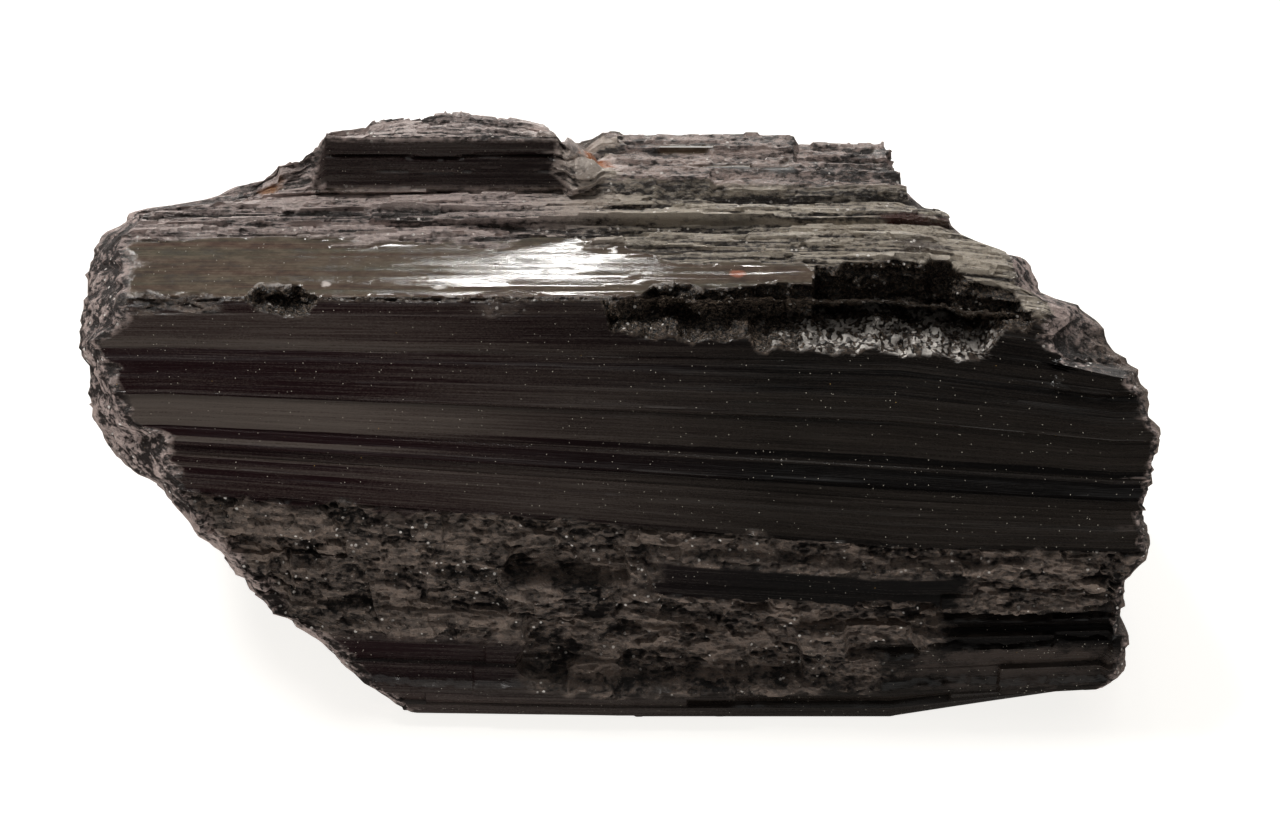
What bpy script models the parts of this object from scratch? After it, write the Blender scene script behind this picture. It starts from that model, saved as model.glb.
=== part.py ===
"""A hand specimen of black tourmaline: one broken length of a ribbed crystal, lying on a flat side.

X runs along the crystal, Y from its front to its back and Z up. The origin is under the middle of the
crystal, on the plane it rests on. Sizes are in millimetres here, and the mesh is made in metres.

A place on the long sides is given by x and girth. Girth is the way round the middle section in
millimetres: from the front foot up the front, back over the top, down the back and along the base.
"""

import bpy
import numpy as np
from mathutils.geometry import delaunay_2d_cdt

MM = 0.001

# Height of the plane it rests on.
BASE_PLANE = 0.0

# Corners of the section as (y, z), from the front foot round the front, top, back and base.
# Each section stands at its own x, and the sides run straight from one section to the next.
SECTION_X = (-40.0, 0.0, 25.0, 44.0)
SECTIONS = (
    ((2.0, 0.0), (0.8, 4.2), (3.8, 25.8), (13.3, 39.4), (20.3, 41.0), (25.7, 41.4),
     (33.8, 40.6), (38.6, 36.4), (41.2, 31.0), (41.8, 18.0), (38.0, 6.0), (33.0, 0.0)),
    ((1.2, 0.0), (0.0, 3.6), (2.0, 23.2), (13.3, 39.4), (20.3, 41.3), (25.7, 41.8),
     (34.5, 40.1), (39.0, 37.0), (41.6, 31.0), (42.3, 18.0), (38.5, 5.5), (33.5, 0.0)),
    ((1.2, 0.0), (0.0, 3.6), (0.9, 21.4), (13.3, 39.4), (20.3, 41.3), (25.7, 41.8),
     (34.2, 40.1), (38.6, 36.6), (41.0, 30.0), (41.8, 17.0), (38.0, 5.0), (33.0, 0.0)),
    ((5.5, 0.0), (0.3, 4.7), (0.8, 21.0), (11.6, 36.8), (18.8, 40.4), (25.2, 41.3),
     (33.0, 39.4), (37.0, 35.6), (39.5, 29.0), (40.0, 17.0), (36.5, 5.0), (31.5, 0.0)),
)
MIDDLE_SECTION = 1
CORNER_ROUND = 0.5

# Both ends are broken along lines that lean back by this angle. Rise is how far a point lies across
# those lines, and each end is the x that the break reaches at a rise.
BREAK_LEAN = np.radians(40.0)
LEFT_END = (
    (0.0, -18.5), (2.7, -21.1), (3.9, -23.2), (6.6, -25.6), (7.7, -26.2), (10.2, -29.5), (10.5, -30.8),
    (12.4, -32.5), (14.0, -33.3), (16.4, -35.1), (17.7, -36.9), (19.3, -37.8), (22.7, -41.1),
    (23.1, -42.4), (25.8, -44.9), (28.4, -46.3), (32.9, -47.2), (34.4, -47.8), (36.2, -47.8),
    (39.7, -47.0), (42.5, -47.1), (43.9, -46.6), (45.0, -46.0), (45.7, -44.3), (46.3, -43.6),
    (47.0, -43.6), (47.5, -42.1), (48.0, -38.4), (48.7, -35.8), (49.6, -34.6), (50.4, -31.5),
    (51.0, -29.6), (52.0, -29.3), (52.7, -27.5), (56.5, -25.5),
)
RIGHT_END = (
    (0.0, 36.0), (1.8, 38.7), (3.0, 42.0), (3.7, 44.5), (4.9, 45.6), (6.4, 46.1), (8.3, 46.0),
    (10.2, 45.3), (13.5, 45.4), (15.3, 46.6), (16.4, 47.2), (20.9, 46.6), (22.2, 47.2), (24.9, 47.2),
    (26.1, 47.8), (27.4, 47.9), (28.6, 47.0), (30.9, 46.8), (31.3, 46.1), (32.8, 46.0), (33.2, 45.2),
    (33.8, 45.1), (34.1, 44.2), (35.3, 43.5), (37.2, 42.2), (38.5, 40.9), (38.9, 39.7), (39.4, 37.6),
    (41.7, 36.7), (42.9, 36.2), (43.2, 34.2), (43.7, 32.6), (44.4, 32.3), (44.6, 31.1), (46.1, 29.7),
    (47.0, 29.2), (47.3, 27.5), (48.9, 26.0), (49.6, 25.4), (53.0, 24.2), (56.5, 22.0),
)
# How far the sides stop short of the end's outermost point, by rise, which leaves a sloping rim.
LEFT_RIM = (
    (21.5, 0.3), (24.1, 3.0), (26.9, 4.6), (27.8, 2.4), (31.7, 1.5), (35.2, 1.0), (36.5, 2.6),
    (42.0, 2.8), (46.0, 0.6),
)
RIGHT_RIM = (
    (32.6, 0.2), (33.1, 5.4), (36.0, 5.2), (38.8, 3.5), (40.5, 2.0), (43.0, 1.4), (46.0, 0.3),
)
RIM_DEPTH = 6.0
BACK_TAPER = 3.0
END_CHIP = (5.0, 4.0)
END_CHIP_DEPTH = 1.2
END_CHIP_OUT = 0.5
# How far the left and the right end reach beyond their front edge, further back.
END_SWELL = (1.2, 0.5)

# The high slab on the top left, as the (y, z) corners of its step, and the girths that carry them.
SLAB_PATH = ((26.0, 41.8), (26.8, 46.7), (30.9, 46.9), (36.9, 38.8))
SLAB_GIRTH = (56.4, 59.0, 62.2, 68.6)
SLAB_X = (-27.6, -0.9)
SLAB_BREAK_RUN = 3.6
# How much of its height the slab has on the broken steps at its left end, by x.
SLAB_RISE = (
    (-33.4, 0.0), (-31.0, 0.22), (-30.7, 0.38), (-28.9, 0.5), (-28.2, 0.62), (-27.0, 0.72), (-26.2, 1.0),
)
# How far its top falls below the highest part, by x.
SLAB_TOP = (
    (-28.0, -1.5), (-24.2, -1.2), (-22.4, -0.8), (-18.0, -0.2), (-16.0, 0.0), (-13.0, -0.2), (-10.0, -0.7),
    (-7.8, -1.0), (-3.0, -1.8),
)

# The notch broken out of the top front edge: girths of its front lip and of its back wall's top.
NOTCH_LIP = (
    (-1.5, 43.3), (-0.5, 40.6), (6.6, 39.8), (11.6, 40.0), (12.1, 38.6), (32.0, 38.3),
    (33.6, 40.6), (34.3, 42.0), (36.2, 42.3), (36.9, 43.4),
)
NOTCH_WALL = (
    (-1.5, 43.5), (2.0, 43.7), (3.3, 45.0), (10.0, 44.8), (17.3, 45.1), (17.7, 47.5), (27.0, 47.5),
    (28.0, 48.1), (29.5, 47.9), (31.0, 46.4), (35.0, 46.3), (36.2, 44.2), (36.9, 43.5),
)
# A smaller pit on the same edge, near the left end.
PIT_LIP = ((-33.0, 43.4), (-32.0, 42.0), (-27.6, 41.8), (-26.4, 43.3))
PIT_WALL = ((-33.0, 43.5), (-31.8, 45.2), (-28.2, 45.0), (-26.4, 43.6))

# Ribs: girth where each one starts, its level and its lean in degrees.
RIBS = (
    (0.0, 0.0, 0), (1.9, -0.3, 6), (3.8, 0.0, -4), (6.6, -0.4, 5), (9.6, 0.2, -6), (12.2, -0.5, 4),
    (14.6, 0.1, -6), (17.2, -0.3, 7), (19.8, 0.1, -5), (23.4, 0.2, -3), (27.1, -0.1, 5),
    (28.2, 0.1, -6), (29.9, -0.1, 3), (33.6, 0.15, -4), (38.3, 0.0, 4), (41.9, 0.1, 0),
    (44.6, 0.1, 2), (48.4, -0.1, -3), (51.0, -0.5, 3), (52.6, 0.3, -6),
    (54.4, -0.2, 5), (56.4, 0.0, 0), (62.2, 0.3, -3), (68.6, -0.3, 5), (72.5, 0.4, -6),
    (77.0, -0.4, 6), (81.5, 0.2, -7), (86.0, -0.5, 5), (91.0, 0.3, -6), (96.0, -0.3, 7),
    (101.0, 0.3, -5), (106.0, -0.4, 4), (112.5, 0.0, 0), (121.5, -0.5, 0), (124.5, 0.0, 0),
    (134.0, -0.4, 0), (137.0, 0.0, 0),
)
RIB_WALL = 0.12
RIB_BREAK_STEP = 0.35
RIB_RUN = 24.0
# The smooth ribs between these girths, and all from the high slab back, run the whole length.
UNBROKEN = (23.0, 50.9)

# Ledges and hollows as (x from, x to, girth from, girth to, level).
LEDGES = (
    (-4.6, 26.5, 56.0, 69.0, 1.2),     # thin slab along the top right
    (16.3, 26.5, 60.2, 69.0, -0.8),    # its lower step
    (8.4, 26.5, 56.0, 58.4, -0.6),     # its front edge, broken down
    (-44.0, -20.0, 56.0, 62.0, -0.5),  # worn top beside the high slab
    (-37.0, 44.5, 5.0, 23.1, -0.6),    # rough lower front, sunk below the smooth band
    (2.5, 32.0, 15.6, 20.6, 0.7),      # rib left standing in it
    (-10.6, -0.2, 12.3, 16.4, 0.7),    # flat lump left of the crack
    (-10.0, 0.4, 16.4, 20.0, -1.3),    # hollow above that lump
    (-8.6, 16.4, 5.4, 11.8, -1.5),     # long recess at the foot
    (-0.2, 9.2, 10.2, 12.0, -0.7),     # its deepest corner
    (20.9, 26.5, 8.1, 12.6, -1.2),     # pit right of it
    (21.7, 29.0, 14.3, 16.2, -1.0),    # slot above the pit
    (10.4, 13.8, 14.0, 15.6, -0.8),    # small slot left of that
    (27.8, 45.0, 11.2, 13.4, 0.9),     # ledge on the right
    (27.8, 45.0, 10.0, 11.2, -0.5),    # groove under that ledge
    (-31.8, -29.6, 11.3, 17.0, -0.9),  # gap beside the left lump
    (38.9, 52.0, 37.8, 40.2, 0.7),     # ledge across the right end of the smooth face
)
LEDGE_EDGE = 0.25
LEDGE_RAGGED = 0.7
# The ledges on the top have straighter edges.
TOP_RAGGED = 0.3

# Broken ground, as (girth from, girth to, depth of its chips).
ROUGH_BANDS = ((4.2, 22.4, 0.55), (44.0, 56.0, 0.22), (56.6, 69.0, 0.3), (100.0, 111.0, 0.6))
CHIP_SIZE = (6.0, 2.6)
NOTCH_CHIP_DEPTH = 0.7

# Mesh lines: x of the fixed ones, counts on the way to each end, and girths besides the rib edges.
STEADY_FROM = -14.0
STEADY_TO = 22.0
STATION_GAP = 2.0
LEFT_LINES = 15
RIGHT_LINES = 12
MARKED_X = (-8.8, -4.7, -0.8, 2.3, 11.6, 12.1, 16.5, 17.4, 17.8)
EXTRA_GIRTH = (
    5.2, 8.2, 11.0, 13.4, 15.9, 18.5, 21.2, 24.6, 27.3, 33.1, 36.7, 40.0, 41.2, 42.9, 43.6, 46.0,
    47.2, 49.6, 58.2, 59.0, 60.6, 64.9, 66.6, 117.0, 129.5, 141.0,
)
CAP_GAP = 3.4

NODE_NAME = "tourmaline_crystal"
COLOUR = (0.012, 0.010, 0.009, 1.0)
ROUGHNESS = 0.35
REFRACTIVE_INDEX = 1.63
SHARP_ANGLE = np.radians(28.0)


def hashed(column, row, seed):
    """A repeatable number between -1 and 1 for each whole-number cell."""
    mixed = column.astype(np.int64) * 374761393 + row.astype(np.int64) * 668265263 + seed * 69069
    mixed = (mixed ^ (mixed >> 13)) * 1274126177 & 0xFFFFFFFF
    mixed = (mixed ^ (mixed >> 16)) & 0xFFFF
    return mixed / 32767.5 - 1.0


def waves(across, along, seed):
    """Smooth unevenness between about -1 and 1, one hump per unit."""
    column, row = np.floor(across), np.floor(along)
    u, v = across - column, along - row
    u, v = u * u * (3 - 2 * u), v * v * (3 - 2 * v)
    near = hashed(column, row, seed) * (1 - u) + hashed(column + 1, row, seed) * u
    far = hashed(column, row + 1, seed) * (1 - u) + hashed(column + 1, row + 1, seed) * u
    return near * (1 - v) + far * v


def chips(across, along, seed):
    """Flat tilted flakes between about -1 and 1, one per unit, as a broken surface has."""
    column, row = np.floor(across), np.floor(along)
    nearest = np.full(across.shape, np.inf)
    height = np.zeros(across.shape)
    for step_column in (-1, 0, 1):
        for step_row in (-1, 0, 1):
            cell = (column + step_column, row + step_row)
            off_x = across - cell[0] - 0.5 - 0.4 * hashed(*cell, seed)
            off_y = along - cell[1] - 0.5 - 0.4 * hashed(*cell, seed + 1)
            distance = off_x ** 2 + off_y ** 2
            flake = 0.6 * hashed(*cell, seed + 2)
            flake = flake + 0.5 * hashed(*cell, seed + 3) * off_x + 0.5 * hashed(*cell, seed + 4) * off_y
            closer = distance < nearest
            nearest = np.where(closer, distance, nearest)
            height = np.where(closer, flake, height)
    return height


def ramp(value, start, end):
    """0 before start, 1 after end, and straight between them."""
    return np.clip((value - start) / (end - start), 0.0, 1.0)


def between(value, low, high, edge):
    """1 between low and high, falling to 0 over the edge width on either side."""
    return ramp(value, low - edge, low + edge) * (1 - ramp(value, high - edge, high + edge))


def lookup(value, pairs):
    """Read a table of (place, amount) pairs, straight between its entries."""
    places, amounts = zip(*pairs)
    return np.interp(value, places, amounts)


def corner_girths():
    """Girth of each corner of the middle section, with the full way round as the last value."""
    corners = np.array(SECTIONS[MIDDLE_SECTION])
    sides = np.hypot(*(np.roll(corners, -1, axis=0) - corners).T)
    return np.concatenate([[0.0], np.cumsum(sides)])


GIRTHS = corner_girths()
WHOLE_GIRTH = GIRTHS[-1]


def plain_section(x, girth):
    """(y, z) on the straight-sided section at x."""
    girth = np.mod(girth, WHOLE_GIRTH)
    side = np.clip(np.searchsorted(GIRTHS, girth, side="right") - 1, 0, len(GIRTHS) - 2)
    share = (girth - GIRTHS[side]) / (GIRTHS[side + 1] - GIRTHS[side])
    corners = np.array(SECTIONS)
    corners = np.concatenate([corners, corners[:, :1]], axis=1)
    place = np.interp(x, SECTION_X, np.arange(len(SECTION_X)))
    first = np.minimum(place.astype(int), len(SECTION_X) - 2)
    blend = (place - first)[..., None]
    start = corners[first, side] * (1 - blend) + corners[first + 1, side] * blend
    end = corners[first, side + 1] * (1 - blend) + corners[first + 1, side + 1] * blend
    return start + (end - start) * share[..., None]


def rounded_section(x, girth):
    """The section with its corners taken off a little."""
    sides = plain_section(x, girth - CORNER_ROUND) + plain_section(x, girth + CORNER_ROUND)
    return 0.5 * plain_section(x, girth) + 0.25 * sides


def slab_share(x, girth):
    """How much of the high slab stands at a place: all of it, none, or its broken right slope."""
    back = ramp(girth, SLAB_GIRTH[0], SLAB_GIRTH[-1])
    right = SLAB_X[1] - 4.0 * back
    rising = lookup(x, SLAB_RISE)
    return rising * (1 - ramp(x, right - SLAB_BREAK_RUN, right))


def along_path(girth, knots, corners):
    """Point on a path of corners whose girths are the knots. Both may differ from place to place."""
    point = corners[0] * np.ones(girth.shape + (1,))
    for knot, next_knot, corner, next_corner in zip(knots, knots[1:], corners, corners[1:]):
        share = np.clip((girth - knot) / np.maximum(next_knot - knot, 1e-6), 0, 1)[..., None]
        point = point + (next_corner - corner) * share
    return point


def cut_step(point, x, girth, lip_table, wall_table):
    """Break a level-floored, upright-walled step out of the edge between two girths."""
    lip, wall = lookup(x, lip_table), lookup(x, wall_table)
    front, back = rounded_section(x, lip), rounded_section(x, wall)
    inner = np.stack([back[..., 0], front[..., 1]], axis=-1)
    stepped = along_path(girth, (lip, (lip + wall) / 2, wall), (front, inner, back))
    inside = ((girth > lip) & (girth < wall))[..., None]
    return np.where(inside, stepped, point)


def side_path(x, girth):
    """(y, z) of the sides with the high slab, notch and pit, before any relief."""
    point = rounded_section(x, girth)
    point = cut_step(point, x, girth, NOTCH_LIP, NOTCH_WALL)
    point = cut_step(point, x, girth, PIT_LIP, PIT_WALL)
    slab = along_path(girth, SLAB_GIRTH, [np.array(corner) for corner in SLAB_PATH])
    on_slab = ((girth > SLAB_GIRTH[0]) & (girth < SLAB_GIRTH[-1])) * slab_share(x, girth)
    return point + (slab - point) * on_slab[..., None]


def rib_relief(x, girth):
    """Height of the long ribs, which change level where one breaks off along its length."""
    starts, levels, leans = (np.array(column, dtype=float) for column in zip(*RIBS))
    ends = np.append(starts[1:], WHOLE_GIRTH)
    rib = np.clip(np.searchsorted(starts, girth, side="right") - 1, 0, len(RIBS) - 1)
    middle = (starts[rib] + ends[rib]) / 2
    height = levels[rib] + np.tan(np.radians(leans[rib])) * (girth - middle)
    run = np.floor((x + 60 + 12 * hashed(rib, rib, 5)) / RIB_RUN)
    unbroken = (girth > SLAB_GIRTH[0]) | (girth > UNBROKEN[0]) & (girth < UNBROKEN[1])
    return height + np.where(unbroken, 0.0, RIB_BREAK_STEP) * hashed(rib, run, 11)


def ledge_relief(x, girth):
    """Height of the ledges and hollows, each with a ragged outline."""
    ragged = np.where(girth > UNBROKEN[1], TOP_RAGGED, LEDGE_RAGGED)
    drift = ragged * waves(x / 3.1, girth / 2.3, 21)
    height = np.zeros(x.shape)
    for x_from, x_to, girth_from, girth_to, level in LEDGES:
        inside = between(x + drift, x_from, x_to, LEDGE_EDGE)
        inside = inside * between(girth + 0.4 * drift, girth_from, girth_to, LEDGE_EDGE)
        height = height + level * inside
    return height


def slab_top_relief(x, girth):
    """How far the high slab's top falls towards its ends."""
    on_top = between(girth, 60.4, 68.0, 1.4) * ramp(x, -33.0, -28.0) * (1 - ramp(x, -4.0, -1.5))
    return lookup(x, SLAB_TOP) * on_top


def notch_share(x, girth):
    """1 on the notch's and the pit's broken floors and walls, 0 elsewhere."""
    in_notch = (girth > lookup(x, NOTCH_LIP)) & (girth < lookup(x, NOTCH_WALL))
    in_pit = (girth > lookup(x, PIT_LIP)) & (girth < lookup(x, PIT_WALL))
    return (in_notch | in_pit).astype(float)


def chip_relief(x, girth):
    """Height of the flakes on broken ground."""
    depth = NOTCH_CHIP_DEPTH * notch_share(x, girth)
    for girth_from, girth_to, band_depth in ROUGH_BANDS:
        depth = np.maximum(depth, band_depth * between(girth, girth_from, girth_to, 0.4))
    return depth * chips(x / CHIP_SIZE[0], girth / CHIP_SIZE[1], 31)


def side_points(x, girth):
    """(x, y, z) of the finished sides."""
    path = side_path(x, girth)
    reach = side_path(x, girth + 0.4) - side_path(x, girth - 0.4)
    reach = reach / np.maximum(np.hypot(reach[..., 0], reach[..., 1]), 1e-6)[..., None]
    outward = np.stack([-reach[..., 1], reach[..., 0]], axis=-1)
    height = rib_relief(x, girth) + ledge_relief(x, girth) + slab_top_relief(x, girth)
    height = height + chip_relief(x, girth)
    on_base = girth > GIRTHS[-2] - 0.5
    height = np.where(on_base, np.minimum(height, 0.0), height)
    point = path + outward * height[..., None]
    point[..., 1] = np.maximum(point[..., 1], BASE_PLANE)
    return np.concatenate([x[..., None], point], axis=-1)


def rise_and_depth(y, z):
    """How far a point lies across the break's lean, and how far back along it."""
    rise = y * np.sin(BREAK_LEAN) + z * np.cos(BREAK_LEAN)
    return rise, y * np.cos(BREAK_LEAN) - z * np.sin(BREAK_LEAN)


def front_depth(rise):
    """How far back the front and top of the middle section are at each rise."""
    girth = np.linspace(0.0, GIRTHS[6], 200)
    y, z = plain_section(np.zeros(girth.shape), girth).T
    front_rise, depth = rise_and_depth(y, z)
    return np.interp(rise, front_rise, depth)


def end_x(y, z, outline, rim, side):
    """x of a broken end at (y, z). Side is -1 for the left end and 1 for the right."""
    rise, depth = rise_and_depth(y, z)
    behind = depth - front_depth(rise)
    short = lookup(rise, rim) * (1 - ramp(behind, 0.0, RIM_DEPTH))
    swell = END_SWELL[int(side > 0)]
    short = short + BACK_TAPER * ramp(behind, 12.0, 40.0) - swell * ramp(behind, 0.0, RIM_DEPTH)
    flakes = 0.5 - 0.5 * chips(y / END_CHIP[0], z / END_CHIP[1], 41 + side)
    return lookup(rise, outline) - side * (short + END_CHIP_DEPTH * (flakes - END_CHIP_OUT))


def mesh_girths():
    """Girths of the lines that run along the crystal, two to each rib edge."""
    starts = np.array([rib[0] for rib in RIBS[1:]])
    lines = np.concatenate([[RIB_WALL], starts - RIB_WALL, starts + RIB_WALL, EXTRA_GIRTH,
                            [WHOLE_GIRTH - RIB_WALL]])
    return np.sort(lines)


def mesh_stations(girth):
    """x of every mesh point: fixed lines in the middle, spread out to reach both broken ends."""
    steady = np.arange(STEADY_FROM, STEADY_TO + 0.1, STATION_GAP)
    steady = np.sort([x for x in steady if np.abs(x - np.array(MARKED_X)).min() > 0.7] + list(MARKED_X))
    near_end = plain_section(np.full(girth.shape, -40.0), girth)
    left = end_x(near_end[:, 0], near_end[:, 1], LEFT_END, LEFT_RIM, -1)
    near_end = plain_section(np.full(girth.shape, 40.0), girth)
    right = end_x(near_end[:, 0], near_end[:, 1], RIGHT_END, RIGHT_RIM, 1)
    share = np.linspace(0, 1, LEFT_LINES, endpoint=False)[:, None]
    to_left = left * (1 - share) + steady[0] * share
    share = np.linspace(0, 1, RIGHT_LINES + 1)[1:, None]
    to_right = steady[-1] * (1 - share) + right * share
    middle = np.repeat(steady[:, None], len(girth), axis=1)
    return np.concatenate([to_left, middle, to_right])


def cap(ring, outline, rim, side):
    """Inner points and triangles that close one end. Triangles count the ring's points first."""
    edge = [(point[1], point[2]) for point in ring]
    low, high = ring[:, 1:].min(axis=0), ring[:, 1:].max(axis=0)
    rows = int((high[1] - low[1]) / CAP_GAP) + 1
    columns = int((high[0] - low[0]) / CAP_GAP) + 1
    row, column = np.divmod(np.arange(rows * columns), columns)
    y = low[0] + (column + 0.5 * (row % 2) + 0.3 * hashed(column, row, 51)) * CAP_GAP
    z = low[1] + (row + 0.3 * hashed(column, row, 52)) * CAP_GAP
    gap = np.hypot(y[:, None] - ring[:, 1], z[:, None] - ring[:, 2]).min(axis=1)
    inner = [pair for pair, clear in zip(zip(y, z), gap > 0.45 * CAP_GAP) if clear]
    places, _, faces, sources, _, _ = delaunay_2d_cdt(
        edge + inner, [], [list(range(len(edge)))], 1, 1e-5)
    places = np.array(places)
    x = end_x(places[:, 0], places[:, 1], outline, rim, side)
    points = np.column_stack([x, places])
    for place, source in enumerate(sources):
        ring_points = [index for index in source if index < len(edge)]
        if ring_points:
            points[place] = ring[ring_points[0]]
    return points, faces, sources, len(edge)


def add_cap(points, faces, ring_index, end):
    """Close one end of the mesh, turning its triangles to face out."""
    outline, rim, side = end
    ring = np.array([points[index] for index in ring_index])
    cap_points, triangles, sources, edge_count = cap(ring, outline, rim, side)
    numbers = {}
    for place in sorted({corner for triangle in triangles for corner in triangle}):
        ring_places = [index for index in sources[place] if index < edge_count]
        if ring_places:
            numbers[place] = ring_index[ring_places[0]]
        else:
            numbers[place] = len(points)
            points.append(cap_points[place])
    for triangle in triangles:
        corners = cap_points[triangle]
        facing = np.cross(corners[1] - corners[0], corners[2] - corners[0])[0]
        order = triangle if facing * side > 0 else triangle[::-1]
        faces.append([numbers[corner] for corner in order])


def crystal_mesh():
    """The whole crystal's points, in millimetres, and its faces."""
    girth = mesh_girths()
    x = mesh_stations(girth)
    stations, lines = x.shape
    grid = side_points(x, np.repeat(girth[None, :], stations, axis=0))
    points = list(grid.reshape(-1, 3))
    faces = []
    for station in range(stations - 1):
        for line in range(lines):
            here = station * lines + line
            beside = station * lines + (line + 1) % lines
            faces.append([here, here + lines, beside + lines, beside])
    add_cap(points, faces, list(range(lines)), (LEFT_END, LEFT_RIM, -1))
    add_cap(points, faces, list(range((stations - 1) * lines, stations * lines)), (RIGHT_END, RIGHT_RIM, 1))
    return np.array(points), faces


def centred(points):
    """Put the origin under the middle of the crystal's box, on the plane it rests on."""
    low, high = points.min(axis=0), points.max(axis=0)
    return points - ((low[0] + high[0]) / 2, (low[1] + high[1]) / 2, low[2])


def black_tourmaline():
    """Near-black, slightly brown, glassy mineral."""
    material = bpy.data.materials.new("black_tourmaline")
    material.use_nodes = True
    shader = material.node_tree.nodes["Principled BSDF"]
    shader.inputs["Base Color"].default_value = COLOUR
    shader.inputs["Roughness"].default_value = ROUGHNESS
    shader.inputs["Metallic"].default_value = 0.0
    shader.inputs["IOR"].default_value = REFRACTIVE_INDEX
    return material


def build_crystal():
    """The one solid of the specimen."""
    points, faces = crystal_mesh()
    mesh = bpy.data.meshes.new(NODE_NAME)
    mesh.from_pydata((centred(points) * MM).tolist(), [], faces)
    mesh.validate()
    for face in mesh.polygons:
        face.use_smooth = len(face.vertices) == 4
    mesh.set_sharp_from_angle(angle=SHARP_ANGLE)
    mesh.materials.append(black_tourmaline())
    crystal = bpy.data.objects.new(NODE_NAME, mesh)
    bpy.context.scene.collection.objects.link(crystal)


def clear_scene():
    for old in list(bpy.data.objects):
        bpy.data.objects.remove(old)


clear_scene()
build_crystal()
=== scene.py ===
"""The looks of the black tourmaline specimen: its striated and broken surface, floor, lights and camera.

The shape is made from the same named sizes as the solid, in millimetres, on a much finer mesh. A place
on the long sides is given by x and girth: girth is the way round the middle section, from the front foot
up the front, back over the top, down the back and along the base.
"""

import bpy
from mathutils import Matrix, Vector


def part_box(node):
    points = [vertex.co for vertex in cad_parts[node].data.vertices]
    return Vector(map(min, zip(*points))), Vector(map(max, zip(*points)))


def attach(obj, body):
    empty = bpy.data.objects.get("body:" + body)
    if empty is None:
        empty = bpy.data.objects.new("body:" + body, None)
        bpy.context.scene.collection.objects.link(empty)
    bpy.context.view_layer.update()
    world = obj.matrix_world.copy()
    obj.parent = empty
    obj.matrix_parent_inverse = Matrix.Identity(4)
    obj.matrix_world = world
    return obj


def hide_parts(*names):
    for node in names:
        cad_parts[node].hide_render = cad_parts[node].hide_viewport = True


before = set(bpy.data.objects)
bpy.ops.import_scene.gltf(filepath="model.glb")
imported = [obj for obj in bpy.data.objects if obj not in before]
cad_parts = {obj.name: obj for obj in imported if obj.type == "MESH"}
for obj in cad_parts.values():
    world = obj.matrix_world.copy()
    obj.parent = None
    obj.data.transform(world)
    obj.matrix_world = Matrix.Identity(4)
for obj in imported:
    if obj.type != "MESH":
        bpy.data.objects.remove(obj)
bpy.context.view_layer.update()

from types import SimpleNamespace

import bpy
import numpy as np
from mathutils import Vector
from mathutils.geometry import delaunay_2d_cdt

MM = 0.001
NODE = "tourmaline_crystal"

# ---------------------------------------------------------------- form

# These are the solid's sizes, apart from the high slab's outline, the notch's lip, the worn top beside the
# slab and two ribs on the top, which differ a little to show on the finer mesh what the photo shows.
SECTION_X = (-40.0, 0.0, 25.0, 44.0)
SECTIONS = (
    ((2.0, 0.0), (0.8, 4.2), (3.8, 25.8), (13.3, 39.4), (20.3, 41.0), (25.7, 41.4),
     (33.8, 40.6), (38.6, 36.4), (41.2, 31.0), (41.8, 18.0), (38.0, 6.0), (33.0, 0.0)),
    ((1.2, 0.0), (0.0, 3.6), (2.0, 23.2), (13.3, 39.4), (20.3, 41.3), (25.7, 41.8),
     (34.5, 40.1), (39.0, 37.0), (41.6, 31.0), (42.3, 18.0), (38.5, 5.5), (33.5, 0.0)),
    ((1.2, 0.0), (0.0, 3.6), (0.9, 21.4), (13.3, 39.4), (20.3, 41.3), (25.7, 41.8),
     (34.2, 40.1), (38.6, 36.6), (41.0, 30.0), (41.8, 17.0), (38.0, 5.0), (33.0, 0.0)),
    ((5.5, 0.0), (0.3, 4.7), (0.8, 21.0), (11.6, 36.8), (18.8, 40.4), (25.2, 41.3),
     (33.0, 39.4), (37.0, 35.6), (39.5, 29.0), (40.0, 17.0), (36.5, 5.0), (31.5, 0.0)),
)
MIDDLE_SECTION = 1
CORNER_ROUND = 0.45
# Middle of the form in x and y, which is the origin of the solid's frame.
FORM_CENTRE = (-0.165, 21.13)
BASE_PLANE = 0.0

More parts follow.
